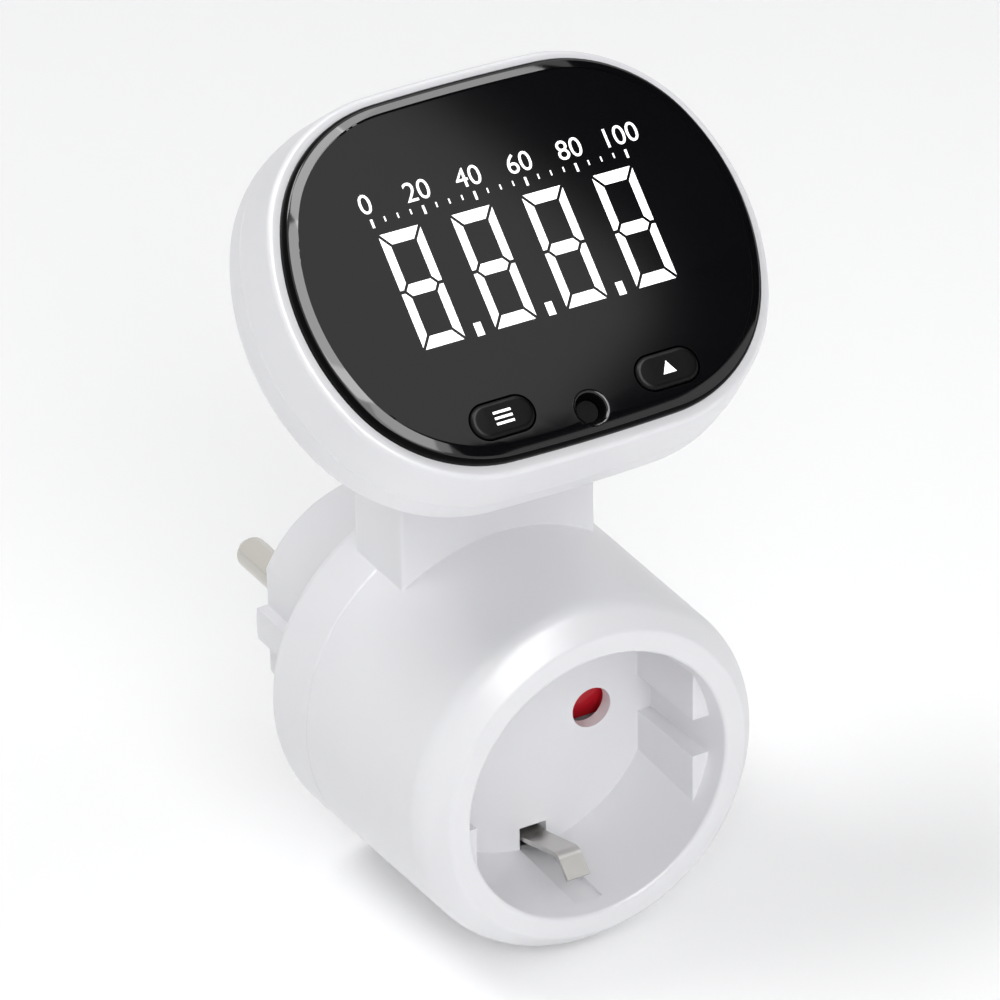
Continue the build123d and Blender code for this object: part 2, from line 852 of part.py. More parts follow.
with BuildPart() as pin_retainer:
    with BuildSketch(across(retainer_back_y)):
        Circle(plug_bore_radius - seat_gap)
        with GridLocations(pin_spacing, 0, 2, 1):
            Circle(pin_tail_radius + seat_gap, mode=Mode.SUBTRACT)
        with GridLocations(0, 2 * retainer_post_z, 1, 2):
            Circle(retainer_screw_radius + seat_gap, mode=Mode.SUBTRACT)
    extrude(amount=retainer_thickness)
finish(pin_retainer.part, "pin_retainer")

with BuildPart() as retainer_screws:
    screws(
        across(retainer_front_y),
        [(0, retainer_post_z), (0, -retainer_post_z)],
        retainer_screw_radius,
        retainer_thickness + retainer_screw_bite - seat_gap,
        retainer_screw_head_radius,
        retainer_screw_head_depth,
    )
finish(retainer_screws.part, "retainer_screws")

# Earth: one spring strip makes both clips of the socket, and one strip lies in both grooves
with BuildPart() as earth_clip:
    arm = clip_arm_height - clip_thickness / 2
    clip_half = [
        (floor_y, arm),
        (ring_y + clip_crest_setback, clip_crest_height),
        (ring_y + clip_tip_setback, clip_tip_height),
    ]
    lower_half = [(y, -z) for y, z in reversed(clip_half)]
    strip(
        lower_half + [(earth_bar_y, -arm), (earth_bar_y, arm)] + clip_half,
        [clip_bend_radius] * 6,
        clip_thickness,
        clip_width,
    )
finish(earth_clip.part, "earth_clip")

with BuildPart() as plug_earth_strap:
    strap_bar_y = earth_bar_y + (clip_thickness + earth_strip_thickness) / 2
    strap_arm = earth_groove_floor + earth_strip_thickness / 2
    strap_end_y = -plug_edge_radius
    strip(
        [
            (strap_end_y, -strap_arm),
            (strap_bar_y, -strap_arm),
            (strap_bar_y, strap_arm),
            (strap_end_y, strap_arm),
        ],
        [earth_strip_thickness] * 2,
        earth_strip_thickness,
        earth_strip_width,
    )
finish(plug_earth_strap.part, "plug_earth_strap")

# Metering board and its components, which stand on its front
with BuildPart() as main_board:
    with BuildSketch(across(rear_wall_y)):
        Circle(main_board_radius)
        with GridLocations(pin_spacing, 0, 2, 1):
            Rectangle(board_window_width, board_window_height, mode=Mode.SUBTRACT)
        with Locations(*board_screw_places):
            Circle(board_screw_radius + seat_gap, mode=Mode.SUBTRACT)
    extrude(amount=board_thickness)
finish(main_board.part, "main_board")

with BuildPart() as board_screws:
    screws(
        across(board_front_y),
        board_screw_places,
        board_screw_radius,
        board_thickness + board_screw_bite - seat_gap,
        board_screw_head_radius,
        board_screw_head_depth,
    )
finish(board_screws.part, "board_screws")


def block_on_board(place, size, edge):
    """Rounded block that stands on the metering board's front, in the part that is open."""
    width, height, depth = size
    with BuildSketch(across(board_front_y)) as foot:
        with Locations(place):
            RectangleRounded(width, height, edge)
    extrude(foot.sketch, amount=depth)


with BuildPart() as film_capacitor:
    block_on_board(film_capacitor_place, film_capacitor_size, film_capacitor_edge)
    fillet(film_capacitor.faces().sort_by(Axis.Y)[0].edges(), film_capacitor_edge)
finish(film_capacitor.part, "film_capacitor")

with BuildPart() as electrolytic_capacitor:
    with BuildSketch(across(board_front_y)):
        with Locations(can_place):
            Circle(can_radius)
    extrude(amount=can_height)
    fillet(electrolytic_capacitor.faces().sort_by(Axis.Y)[0].edges(), can_edge)
finish(electrolytic_capacitor.part, "electrolytic_capacitor")

with BuildPart() as varistor:
    with BuildSketch(across(board_front_y)):
        with Locations(varistor_place):
            Circle(varistor_radius)
    extrude(amount=varistor_thickness)
    fillet(varistor.faces().sort_by(Axis.Y)[0].edges(), varistor_edge)
finish(varistor.part, "varistor")

with BuildPart() as metering_chip:
    block_on_board(chip_place, chip_size, chip_edge)
finish(metering_chip.part, "metering_chip")

with BuildPart() as main_connector:
    block_on_board((ribbon_x, ribbon_start_height), connector_size, connector_edge)
finish(main_connector.part, "main_connector")

# Display head: bezel and back shell, which meet at the parting depth
head_axis = Axis((0, 0, 0), (0, tilt_cosine, -tilt_sine))
bezel_rim_growth = rim_width + bezel_growth * rim_wall / bezel_depth
parting_growth = rim_width + bezel_growth
back_growth = parting_growth + shell_growth
boss_start_depth = rim_wall + panel_flange_depth
panel_back_depth = panel_wall - face_rise
switch_front_depth = display_board_depth - switch_height


def head_boss_places(reach):
    """Four places at a distance from the corner arcs' centres, along the corners' diagonals."""
    corner = corner_centre()[-1]
    turn = math.radians(head_boss_angle)
    x = corner.X + reach * math.cos(turn)
    v = corner.Y + reach * math.sin(turn)
    return [(x, v), (-x, v), (-x, -v), (x, -v)]


head_bosses = head_boss_places(head_boss_reach)
head_boss_webs = head_boss_places(head_boss_reach + head_boss_web)

with BuildPart() as head_bezel:
    face_slab(0, rim_width, bezel_depth, parting_growth)
    fillet(head_bezel.faces().sort_by(head_axis)[0].edges(), rim_round)
    face_slab(
        rim_wall, bezel_rim_growth - side_wall, bezel_depth, parting_growth - side_wall, Mode.SUBTRACT
    )
    with BuildSketch(at_depth(rim_wall)):
        face_outline(panel_gap)
    extrude(amount=rim_wall, mode=Mode.SUBTRACT)
    with BuildSketch(at_depth(bezel_depth)):
        for place, web in zip(head_bosses, head_boss_webs):
            SlotCenterPoint(center=place, point=web, height=2 * head_boss_radius)
    extrude(amount=bezel_depth - boss_start_depth)
    with BuildSketch(at_depth(bezel_depth)):
        with Locations(*head_bosses):
            Circle(head_screw_radius + seat_gap)
    extrude(amount=head_screw_bite, mode=Mode.SUBTRACT)
finish(head_bezel.part, "head_bezel")

screw_seat_depth = head_depth - head_screw_recess - head_screw_head_depth
shell_inner_depth = head_depth - shell_wall
board_back_depth = display_board_depth + board_thickness

with BuildPart() as head_back_shell:
    face_slab(bezel_depth, parting_growth, head_depth, back_growth)
    fillet(head_back_shell.faces().sort_by(head_axis)[-1].edges(), back_edge_radius)
    chamfer(head_back_shell.faces().sort_by(head_axis)[0].edges(), joint_groove)
    face_slab(
        bezel_depth, parting_growth - side_wall, shell_inner_depth, back_growth - side_wall, Mode.SUBTRACT
    )

    # Corner bosses for the head's screws, and posts that press on the display board
    with BuildSketch(at_depth(shell_inner_depth)):
        for place, web in zip(head_bosses, head_boss_webs):
            SlotCenterPoint(center=place, point=web, height=2 * head_boss_radius)
    extrude(amount=shell_inner_depth - bezel_depth)
    with BuildSketch(at_depth(shell_inner_depth)):
        with GridLocations(2 * board_post_x, 2 * board_post_y, 2, 2):
            Circle(board_post_radius)
    extrude(amount=shell_inner_depth - board_back_depth)
    with BuildSketch(at_depth(head_depth)):
        with Locations(*head_bosses):
            Circle(head_screw_radius + seat_gap)
    extrude(amount=head_depth - bezel_depth, mode=Mode.SUBTRACT)
    with BuildSketch(at_depth(head_depth)):
        with Locations(*head_bosses):
            Circle(head_screw_head_radius + seat_gap)
    extrude(amount=head_depth - screw_seat_depth, mode=Mode.SUBTRACT)

    # Seat of the neck, with the cable's opening and four screw holes
    neck_prism(
        neck_front_y - seat_gap,
        neck_rear_y + seat_gap,
        neck_top_depth,
        well_floor_radius,
        neck_width + 2 * seat_gap,
        mode=Mode.SUBTRACT,
    )
    neck_prism(duct_front_y, duct_rear_y, bezel_depth, 0, duct_width, ribbon_x, mode=Mode.SUBTRACT)
    with BuildSketch(at_depth(neck_top_depth)):
        with Locations(*neck_screw_places):
            Circle(neck_screw_radius + seat_gap)
    extrude(amount=neck_top_depth - shell_inner_depth, mode=Mode.SUBTRACT)
finish(head_back_shell.part, "head_back_shell")

with BuildPart() as head_screws:
    seat = Plane(
        origin=at_depth(screw_seat_depth).origin,
        x_dir=(-1, 0, 0),
        z_dir=(0, tilt_cosine, -tilt_sine),
    )
    screws(
        seat,
        [(-x, v) for x, v in head_bosses],
        head_screw_radius,
        screw_seat_depth - bezel_depth + head_screw_bite - seat_gap,
        head_screw_head_radius,
        head_screw_head_depth,
    )
finish(head_screws.part, "head_screws")

with BuildPart() as neck_screws:
    screws(
        at_depth(shell_inner_depth),
        neck_screw_places,
        neck_screw_radius,
        neck_top_depth - shell_inner_depth + neck_screw_bite - seat_gap,
        neck_screw_head_radius,
        neck_screw_head_depth,
    )
finish(neck_screws.part, "neck_screws")


# Digits: seven mitred segments each, and a point after the first three
def digit_row():
    """All segments and points of the display, in the sketch that is open."""
    half_width = digit_width / 2
    half_height = digit_height / 2
    half_bar = digit_bar_height / 2
    inner_x = half_width - digit_bar_width
    inner_y = half_height - digit_bar_height
    middle_x = half_width - digit_bar_width / 2
    for number in range(digit_count):
        digit_x = digit_pitch * (number - (digit_count - 1) / 2)
        with Locations((digit_x, digit_row_height)):
            for up in (1, -1):
                Polygon(
                    (digit_gap - half_width, up * half_height),
                    (half_width - digit_gap, up * half_height),
                    (inner_x - digit_gap, up * inner_y),
                    (digit_gap - inner_x, up * inner_y),
                    align=None,
                )
                for side in (1, -1):
                    Polygon(
                        (side * half_width, up * (half_height - digit_gap)),
                        (side * inner_x, up * (inner_y - digit_gap)),
                        (side * inner_x, up * (half_bar + digit_gap)),
                        (side * middle_x, up * digit_gap),
                        (side * half_width, up * digit_gap),
                        align=None,
                    )
            Polygon(
                (middle_x - digit_gap, 0),
                (inner_x - digit_gap, half_bar),
                (digit_gap - inner_x, half_bar),
                (digit_gap - middle_x, 0),
                (digit_gap - inner_x, -half_bar),
                (inner_x - digit_gap, -half_bar),
                align=None,
            )
    point_y = digit_row_height - half_height - point_drop + point_height / 2
    with Locations((0, point_y)):
        with GridLocations(digit_pitch, 0, digit_count - 1, 1):
            Rectangle(point_width, point_height)


# Display panel: a raised glossy plate with a rounded edge, a side wall and a flange below the rim
with BuildPart() as display_panel:
    with BuildSketch(at_depth(boss_start_depth)):
        face_outline(0)
    extrude(amount=boss_start_depth + face_rise)
    fillet(display_panel.faces().sort_by(head_axis)[0].edges(), face_rise)
    with BuildSketch(at_depth(boss_start_depth)):
        face_outline(panel_flange)
    extrude(amount=panel_flange_depth)
    with BuildSketch(at_depth(boss_start_depth)):
        face_outline(-panel_edge_wall)
    extrude(amount=boss_start_depth - panel_back_depth, mode=Mode.SUBTRACT)
    with BuildSketch(at_depth(panel_back_depth)):
        with Locations((key_x, key_y), (-key_x, key_y)):
            SlotOverall(key_length, key_height)
        digit_row()
    extrude(amount=panel_wall, mode=Mode.SUBTRACT)
    with BuildSketch(at_depth(panel_back_depth)):
        with Locations((0, reset_y)):
            Circle(reset_bore_radius)
    extrude(amount=panel_wall, mode=Mode.SUBTRACT)
    with BuildSketch(at_depth(reset_funnel_depth - face_rise)) as throat:
        with Locations((0, reset_y)):
            Circle(reset_bore_radius)
    with BuildSketch(at_depth(-face_rise)) as mouth:
        with Locations((0, reset_y)):
            Circle(reset_mouth_radius)
    loft([throat.sketch, mouth.sketch], mode=Mode.SUBTRACT)
finish(display_panel.part, "display_panel")

with BuildPart() as digit_segments:
    with BuildSketch(at_depth(panel_back_depth)):
        digit_row()
    extrude(amount=panel_wall)
finish(digit_segments.part, "digit_segments")

with BuildPart() as display_module:
    with BuildSketch(at_depth(display_board_depth)):
        with Locations((0, digit_row_height)):
            RectangleRounded(module_width, module_height, module_edge)
    extrude(amount=display_board_depth - panel_back_depth)
finish(display_module.part, "display_module")

with BuildPart() as display_board:
    with BuildSketch(at_depth(board_back_depth)):
        face_outline(-board_inset)
        with Locations(*head_bosses):
            Circle(head_boss_radius + board_notch_gap, mode=Mode.SUBTRACT)
        for place, web in zip(head_bosses, head_boss_places(head_boss_reach + head_boss_radius)):
            SlotCenterPoint(
                center=place,
                point=web,
                height=2 * (head_boss_radius + board_notch_gap),
                mode=Mode.SUBTRACT,
            )
    extrude(amount=board_thickness)
finish(display_board.part, "display_board")


# Keys: a cap in the panel's opening, a flange behind the panel, a stem in its switch
def stem(x, y):
    """Flanged key's stem, which reaches into the switch, in the part that is open."""
    with BuildSketch(at_depth(panel_back_depth)) as foot:
        with Locations((x, y)):
            Circle(stem_radius)
    extrude(foot.sketch, amount=panel_back_depth - switch_front_depth - stem_reach)


def long_key(x):
    """Long key with a crowned cap, in the part that is open."""
    with BuildSketch(at_depth(panel_back_depth)) as cap:
        with Locations((x, key_y)):
            SlotOverall(key_length - 2 * key_gap, key_height - 2 * key_gap)
    extrude(cap.sketch, amount=panel_wall + key_rise)
    with BuildSketch(at_depth(panel_back_depth)) as flange:
        with Locations((x, key_y)):
            SlotOverall(key_length + 2 * key_flange, key_height + 2 * key_flange)
    extrude(flange.sketch, amount=-key_flange_depth)
    stem(x, key_y)


with BuildPart() as mode_button:
    long_key(-key_x)
    fillet(mode_button.faces().sort_by(head_axis)[0].edges(), key_round)
finish(mode_button.part, "mode_button")

with BuildPart() as up_button:
    long_key(key_x)
    fillet(up_button.faces().sort_by(head_axis)[0].edges(), key_round)
finish(up_button.part, "up_button")

with BuildPart() as reset_button:
    with BuildSketch(at_depth(reset_depth - face_rise)):
        with Locations((0, reset_y)):
            Circle(reset_radius)
    extrude(amount=-(panel_wall - reset_depth))
    with BuildSketch(at_depth(panel_back_depth)):
        with Locations((0, reset_y)):
            Circle(reset_radius + reset_flange)
    extrude(amount=-key_flange_depth)
    stem(0, reset_y)
finish(reset_button.part, "reset_button")

with BuildPart() as tact_switches:
    with BuildSketch(at_depth(display_board_depth)):
        with Locations((key_x, key_y), (-key_x, key_y), (0, reset_y)):
            RectangleRounded(switch_side, switch_side, connector_edge)
            Circle(stem_radius + switch_bore_gap, mode=Mode.SUBTRACT)
    extrude(amount=switch_height)
finish(tact_switches.part, "tact_switches")

# Ribbon cable: from the metering board forward, up through the neck, then square to the display
ribbon_y = parting_y + ribbon_line_depth
ribbon_bend_v = face_height_at(ribbon_y, ribbon_head_depth)
ribbon_bend_z = head_height - ribbon_head_depth * tilt_sine + ribbon_bend_v * tilt_cosine
connector_width, connector_height, connector_depth = connector_size
ribbon_end_depth = board_back_depth + connector_depth
ribbon_end = at_depth(ribbon_end_depth).from_local_coords((0, ribbon_bend_v, 0))

with BuildPart() as display_connector:
    with BuildSketch(at_depth(ribbon_end_depth)):
        with Locations((ribbon_x, ribbon_bend_v)):
            RectangleRounded(connector_width, connector_height, connector_edge)
    extrude(amount=connector_depth)
finish(display_connector.part, "display_connector")

with BuildPart() as ribbon_cable:
    strip(
        [
            (board_front_y - connector_depth, ribbon_start_height),
            (ribbon_y, ribbon_start_height),
            (ribbon_y, ribbon_bend_z),
            (ribbon_end.Y, ribbon_end.Z),
        ],
        [ribbon_bend_radius] * 2,
        ribbon_thickness,
        ribbon_width,
        ribbon_x,
    )
finish(ribbon_cable.part, "ribbon_cable")
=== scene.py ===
import logging
import math
from dataclasses import dataclass, field
from enum import Enum

import bmesh
import bpy
from mathutils import Matrix, Vector


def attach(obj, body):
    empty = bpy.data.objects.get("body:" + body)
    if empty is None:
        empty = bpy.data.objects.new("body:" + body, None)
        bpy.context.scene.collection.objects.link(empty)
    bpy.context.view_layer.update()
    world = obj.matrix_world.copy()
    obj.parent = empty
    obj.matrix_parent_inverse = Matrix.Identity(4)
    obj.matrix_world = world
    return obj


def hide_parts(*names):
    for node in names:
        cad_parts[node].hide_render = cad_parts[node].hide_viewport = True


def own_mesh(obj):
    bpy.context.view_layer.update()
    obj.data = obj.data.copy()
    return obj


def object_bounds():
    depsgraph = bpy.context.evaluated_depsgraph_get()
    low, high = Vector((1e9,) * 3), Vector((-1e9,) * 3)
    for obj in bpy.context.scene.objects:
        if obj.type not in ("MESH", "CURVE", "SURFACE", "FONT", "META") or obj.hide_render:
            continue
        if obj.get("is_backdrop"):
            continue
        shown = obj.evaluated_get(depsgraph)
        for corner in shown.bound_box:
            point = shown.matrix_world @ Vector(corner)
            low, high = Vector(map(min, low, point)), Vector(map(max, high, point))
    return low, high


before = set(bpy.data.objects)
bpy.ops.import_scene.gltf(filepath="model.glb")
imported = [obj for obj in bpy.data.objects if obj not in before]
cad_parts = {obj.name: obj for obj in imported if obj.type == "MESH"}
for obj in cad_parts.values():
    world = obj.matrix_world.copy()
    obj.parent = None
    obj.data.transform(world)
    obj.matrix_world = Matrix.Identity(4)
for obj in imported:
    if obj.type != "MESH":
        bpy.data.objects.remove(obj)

# Dressed model of a plug-in energy monitor: a round barrel with a mains socket in front and a
# plug behind, and a tilted display head on a short neck.

log = logging.getLogger("energy_monitor")
logging.basicConfig(level=logging.INFO, format="%(message)s")

MM = 0.001
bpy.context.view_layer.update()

# What all finishes share: octaves and roughness of the fine pattern, octaves and width of the slow
# change of tone, and how far the gloss varies round its named roughness
FINE_OCTAVES = 3.0
FINE_ROUGHNESS = 0.55
BROAD_OCTAVES = 2.0
BROAD_TONE_MM = 18.0
GLOSS_SPREAD = 0.15


def linear(colour: str) -> tuple[float, float, float, float]:
    """Turn an sRGB hex colour into the linear colour that a shader takes.

    Args:
        colour: six hex digits after a hash sign.

    Returns:
        Red, green, blue and alpha, from 0 to 1.
    """
    parts = [int(colour[i : i + 2], 16) / 255 for i in (1, 3, 5)]
    low, scale, offset, power = 0.04045, 12.92, 0.055, 2.4
    return (
        *(p / scale if p <= low else ((p + offset) / (1 + offset)) ** power for p in parts),
        1.0,
    )


def add_node(
    tree: bpy.types.NodeTree, kind: str, settings: dict[str, object], **links: object
) -> bpy.types.Node:
    """Add a shader node with its settings, values and links.

    Args:
        tree: node tree that gets the node.
        kind: Blender's type name of the node.
        settings: attributes of the node itself, by name.
        links: socket name, with underscores for spaces, to an output socket or a value.

    Returns:
        The new node.
    """
    node = tree.nodes.new(kind)
    for name, value in settings.items():
        setattr(node, name, value)
    for name, value in links.items():
        socket = node.inputs[name.replace("_", " ")]
        if isinstance(value, bpy.types.NodeSocket):
            tree.links.new(value, socket)
        else:
            socket.default_value = value
    return node


def shade_smooth(bm: bmesh.types.BMesh, crease_deg: float) -> None:
    """Shade a shape smoothly, apart from its sharp and open edges.

    Args:
        bm: the shape.
        crease_deg: angle from which an edge is sharp.
    """
    crease = math.radians(crease_deg)
    for face in bm.faces:
        face.smooth = True
    for edge in bm.edges:
        edge.smooth = edge.is_manifold and edge.calc_face_angle(0.0) < crease


def finished_object(name: str, bm: bmesh.types.BMesh, place: Matrix) -> bpy.types.Object:
    """Turn a shape into an object that sits at the origin, with its place in its mesh.

    Args:
        name: name of the object and of its mesh.
        bm: the shape; it is freed.
        place: where the shape goes.

    Returns:
        The object, linked to the scene.
    """
    mesh = bpy.data.meshes.new(name)
    bm.to_mesh(mesh)
    bm.free()
    mesh.transform(place)
    piece = bpy.data.objects.new(name, mesh)
    bpy.context.scene.collection.objects.link(piece)
    return piece


class Surface(Enum):
    """How a surface was made, which decides the fine pattern that it shows."""

    MOULDED = "moulded"
    POLISHED = "polished"
    ROLLED = "rolled"
    TURNED = "turned"
    COATED = "coated"
    # Glowing: the lit segments, and the white print, whose glow is painted light
    LIT = "lit"


@dataclass(frozen=True)
class Finish:
    """One finish of the monitor: a colour, a gloss and the fine pattern of how it was made.

    Attributes:
        name: name of the material.
        colour: its sRGB hex colour.
        roughness: its mean roughness.
        surface: how it was made.
        shade: second colour that the first slowly turns to and back, or none.
        metallic: 1 for a metal.
        ior: index of refraction.
        grain_mm: width of the fine pattern.
        relief_mm: depth of the fine pattern.
        specular: how strongly it mirrors, where 0.5 is what the index gives.
        glow: how brightly it glows: the segments' own light, and painted light on the print.
    """

    name: str
    colour: str
    roughness: float
    surface: Surface = Surface.MOULDED
    shade: str = ""
    metallic: float = 0.0
    ior: float = 1.5
    grain_mm: float = 0.35
    relief_mm: float = 0.004
    specular: float = 0.5
    glow: float = 0.0

    def pattern_scale(self) -> tuple[float, float, float]:
        """Work out how fine the pattern is.

        Returns:
            Cycles per metre along X, Y and Z.
        """
        per_metre = 1 / (self.grain_mm * MM)
        # Rolling draws the grain out along Y, and a lathe draws it round the pins, which lie along Y
        stretch = {Surface.ROLLED: (1.0, 0.06, 1.0), Surface.TURNED: (0.15, 1.0, 0.15)}
        return tuple(per_metre * s for s in stretch.get(self.surface, (1.0, 1.0, 1.0)))

    def material(self) -> bpy.types.Material:
        """Build the procedural material.

        Returns:
            A material whose colour, roughness and relief vary by a pattern on Object coordinates.
        """
        material = bpy.data.materials.new(self.name)
        material.use_nodes = True
        tree = material.node_tree
        shader = tree.nodes["Principled BSDF"]
        place = add_node(tree, "ShaderNodeTexCoord", {})
        mapping = add_node(
            tree,
            "ShaderNodeMapping",
            {},
            Vector=place.outputs["Object"],
            Scale=self.pattern_scale(),
        )
        fine = add_node(
            tree,
            "ShaderNodeTexNoise",
            {},
            Vector=mapping.outputs["Vector"],
            Scale=1.0,
            Detail=FINE_OCTAVES,
            Roughness=FINE_ROUGHNESS,
        )
        broad = add_node(
            tree,
            "ShaderNodeTexNoise",
            {},
            Vector=place.outputs["Object"],
            Scale=1 / (BROAD_TONE_MM * MM),
            Detail=BROAD_OCTAVES,
        )
        tone = add_node(
            tree,
            "ShaderNodeMix",
            {"data_type": "RGBA"},
            Factor=broad.outputs["Fac"],
        )
        tone.inputs["A"].default_value = linear(self.colour)
        tone.inputs["B"].default_value = linear(self.shade or self.colour)
        tree.links.new(tone.outputs["Result"], shader.inputs["Base Color"])
        gloss = add_node(
            tree,
            "ShaderNodeMapRange",
            {},
            Value=fine.outputs["Fac"],
            To_Min=self.roughness * (1 - GLOSS_SPREAD),
            To_Max=self.roughness * (1 + GLOSS_SPREAD),
        )
        tree.links.new(gloss.outputs["Result"], shader.inputs["Roughness"])
        bump = add_node(
            tree,
            "ShaderNodeBump",
            {},
            Height=fine.outputs["Fac"],
            Strength=1.0,
            Distance=self.relief_mm * MM,
        )
        tree.links.new(bump.outputs["Normal"], shader.inputs["Normal"])
        shader.inputs["Metallic"].default_value = self.metallic
        shader.inputs["IOR"].default_value = self.ior
        shader.inputs["Specular IOR Level"].default_value = self.specular
        # Emission: the lit segments' own light, and painted light on the white print
        if self.glow:
            shader.inputs["Emission Color"].default_value = linear(self.colour)
            shader.inputs["Emission Strength"].default_value = self.glow
        return material


# The finishes, each named for what the real one is
# Injection-moulded ABS: cool white with a soft satin sheen. Its mould grain of about 0.1 mm is drawn
# 0.5 mm wide so that it shows
WHITE_ABS = Finish(
    "moulded_white_abs", "#EAEAEC", 0.31, shade="#E6E6E9",
    specular=0.45, grain_mm=0.5, relief_mm=0.0012
)
# Polished acrylic sheet: near-black ground that mirrors the room sharply, with a slight waviness
BLACK_ACRYLIC = Finish(
    "polished_black_acrylic", "#0B0B0D", 0.06, Surface.POLISHED, "#0E0E10", ior=1.49, grain_mm=6.0,
    relief_mm=0.0004,
)
# Painted shade for the panel's steep edge faces: a matt black that swallows light, so that the panel ends in
# a black line
PAINTED_SHADE_EDGE = Finish(
    "painted_shade_black_edge", "#050506", 0.35, Surface.MOULDED, "#070708", grain_mm=0.4, relief_mm=0.0006,
    specular=0.03,
)
# Segment lit from behind through a white diffuser: even white, in which no highlight shows
LIT_SEGMENT = Finish(
    "lit_white_segment", "#FFFFFF", 0.3, Surface.LIT, "#FDFDFF", grain_mm=0.6, relief_mm=0.0005, glow=0.9
)
# Screen-printed white ink with a painted glow that brightens it beyond what the lamps give: matt, slightly
# uneven at the 0.3 mm of the printing mesh
PRINTED_WHITE_PAINTED_GLOW = Finish(
    "printed_white_ink_painted_glow", "#FFFFFF", 0.45, Surface.LIT, "#F4F5F7", grain_mm=0.3, relief_mm=0.001, glow=0.75
)
# Moulded black key: nearly black, its fine spark-eroded grain of 0.25 mm leaves a faint sheen alone
BLACK_KEY = Finish(
    "moulded_black_key", "#070708", 0.34, shade="#09090A", specular=0.15, grain_mm=0.25, relief_mm=0.0005
)
# Moulded red plastic: saturated, with a soft highlight
RED_PLASTIC = Finish("moulded_red_shutter", "#C9202E", 0.3, shade="#B81A27", grain_mm=0.4, relief_mm=0.002)
# Moulded glass-filled nylon: dull grey, without clear highlights
GREY_NYLON = Finish("moulded_grey_nylon", "#B9BBBF", 0.5, shade="#AEB0B5", grain_mm=0.3)
# Rolled spring strip with nickel plating: bright silver, soft streaks along the rolling direction;
# real ones lie below 0.1 mm apart and are drawn at 0.5 mm so that they show
SPRING_STRIP = Finish(
    "rolled_nickel_spring_strip", "#D0CECB", 0.36, Surface.ROLLED, "#C4C2BF", 1.0, grain_mm=0.5,
    relief_mm=0.0006,
)
# Turned pin with nickel plating: warm silver with faint rings 0.1 mm apart from the lathe
PLATED_PIN = Finish(
    "nickel_plated_pin", "#C9C6C0", 0.2, Surface.TURNED, "#BDBAB4", 1.0, grain_mm=0.1, relief_mm=0.001
)
# Cold-headed screw or coiled wire with zinc plating: cooler and duller silver
ZINC_SCREW = Finish(
    "zinc_plated_screw", "#B4B6BA", 0.33, Surface.TURNED, "#A3A6AC", 1.0, grain_mm=0.15, relief_mm=0.002
)
# Rolled sheet brass: yellow metal with fine streaks 0.15 mm apart
SHEET_BRASS = Finish(
    "rolled_sheet_brass", "#C9A45C", 0.3, Surface.ROLLED, "#B98F48", 1.0, grain_mm=0.15, relief_mm=0.002
)
# Rolled resistance alloy of copper and manganese: dull pinkish brown metal
SHUNT_ALLOY = Finish(
    "rolled_resistance_alloy", "#A9806A", 0.36, Surface.ROLLED, "#99705C", 1.0, grain_mm=0.15, relief_mm=0.002
)
# Glass-fibre board under green solder resist: dark green, glossy over a 0.8 mm weave
GREEN_BOARD = Finish(
    "coated_glass_fibre_board", "#14522F", 0.35, Surface.COATED, "#0F4427", grain_mm=0.8, relief_mm=0.003
)
# Moulded case of a film capacitor: plain yellow
YELLOW_CASE = Finish("moulded_yellow_case", "#D9A92B", 0.35, shade="#CC9C22", grain_mm=0.4)
# Shrunk plastic sleeve on an aluminium can: dark blue-grey, smooth
CAN_SLEEVE = Finish("shrunk_dark_sleeve", "#2C3340", 0.3, Surface.COATED, "#262C38", grain_mm=0.5)
# Dipped epoxy coat: glossy blue with a gentle unevenness about 0.9 mm wide
BLUE_EPOXY = Finish("dipped_blue_epoxy", "#2458A8", 0.22, Surface.COATED, "#1E4C95", grain_mm=0.9)
# Moulded epoxy compound of chips and switches: matt black, finely speckled at 0.15 mm
CHIP_COMPOUND = Finish(
    "moulded_chip_compound", "#1B1B1D", 0.6, shade="#232325", grain_mm=0.15, relief_mm=0.006
)
# Moulded natural nylon: milky off-white
NYLON = Finish("moulded_natural_nylon", "#DCD8CC", 0.45, shade="#D2CDBF", grain_mm=0.4)
# Extruded insulation of the ribbon cable: dull grey with faint streaks
RIBBON = Finish(
    "extruded_ribbon_insulation", "#9A9CA2", 0.5, Surface.ROLLED, "#8C8E94", grain_mm=0.6, relief_mm=0.01
)


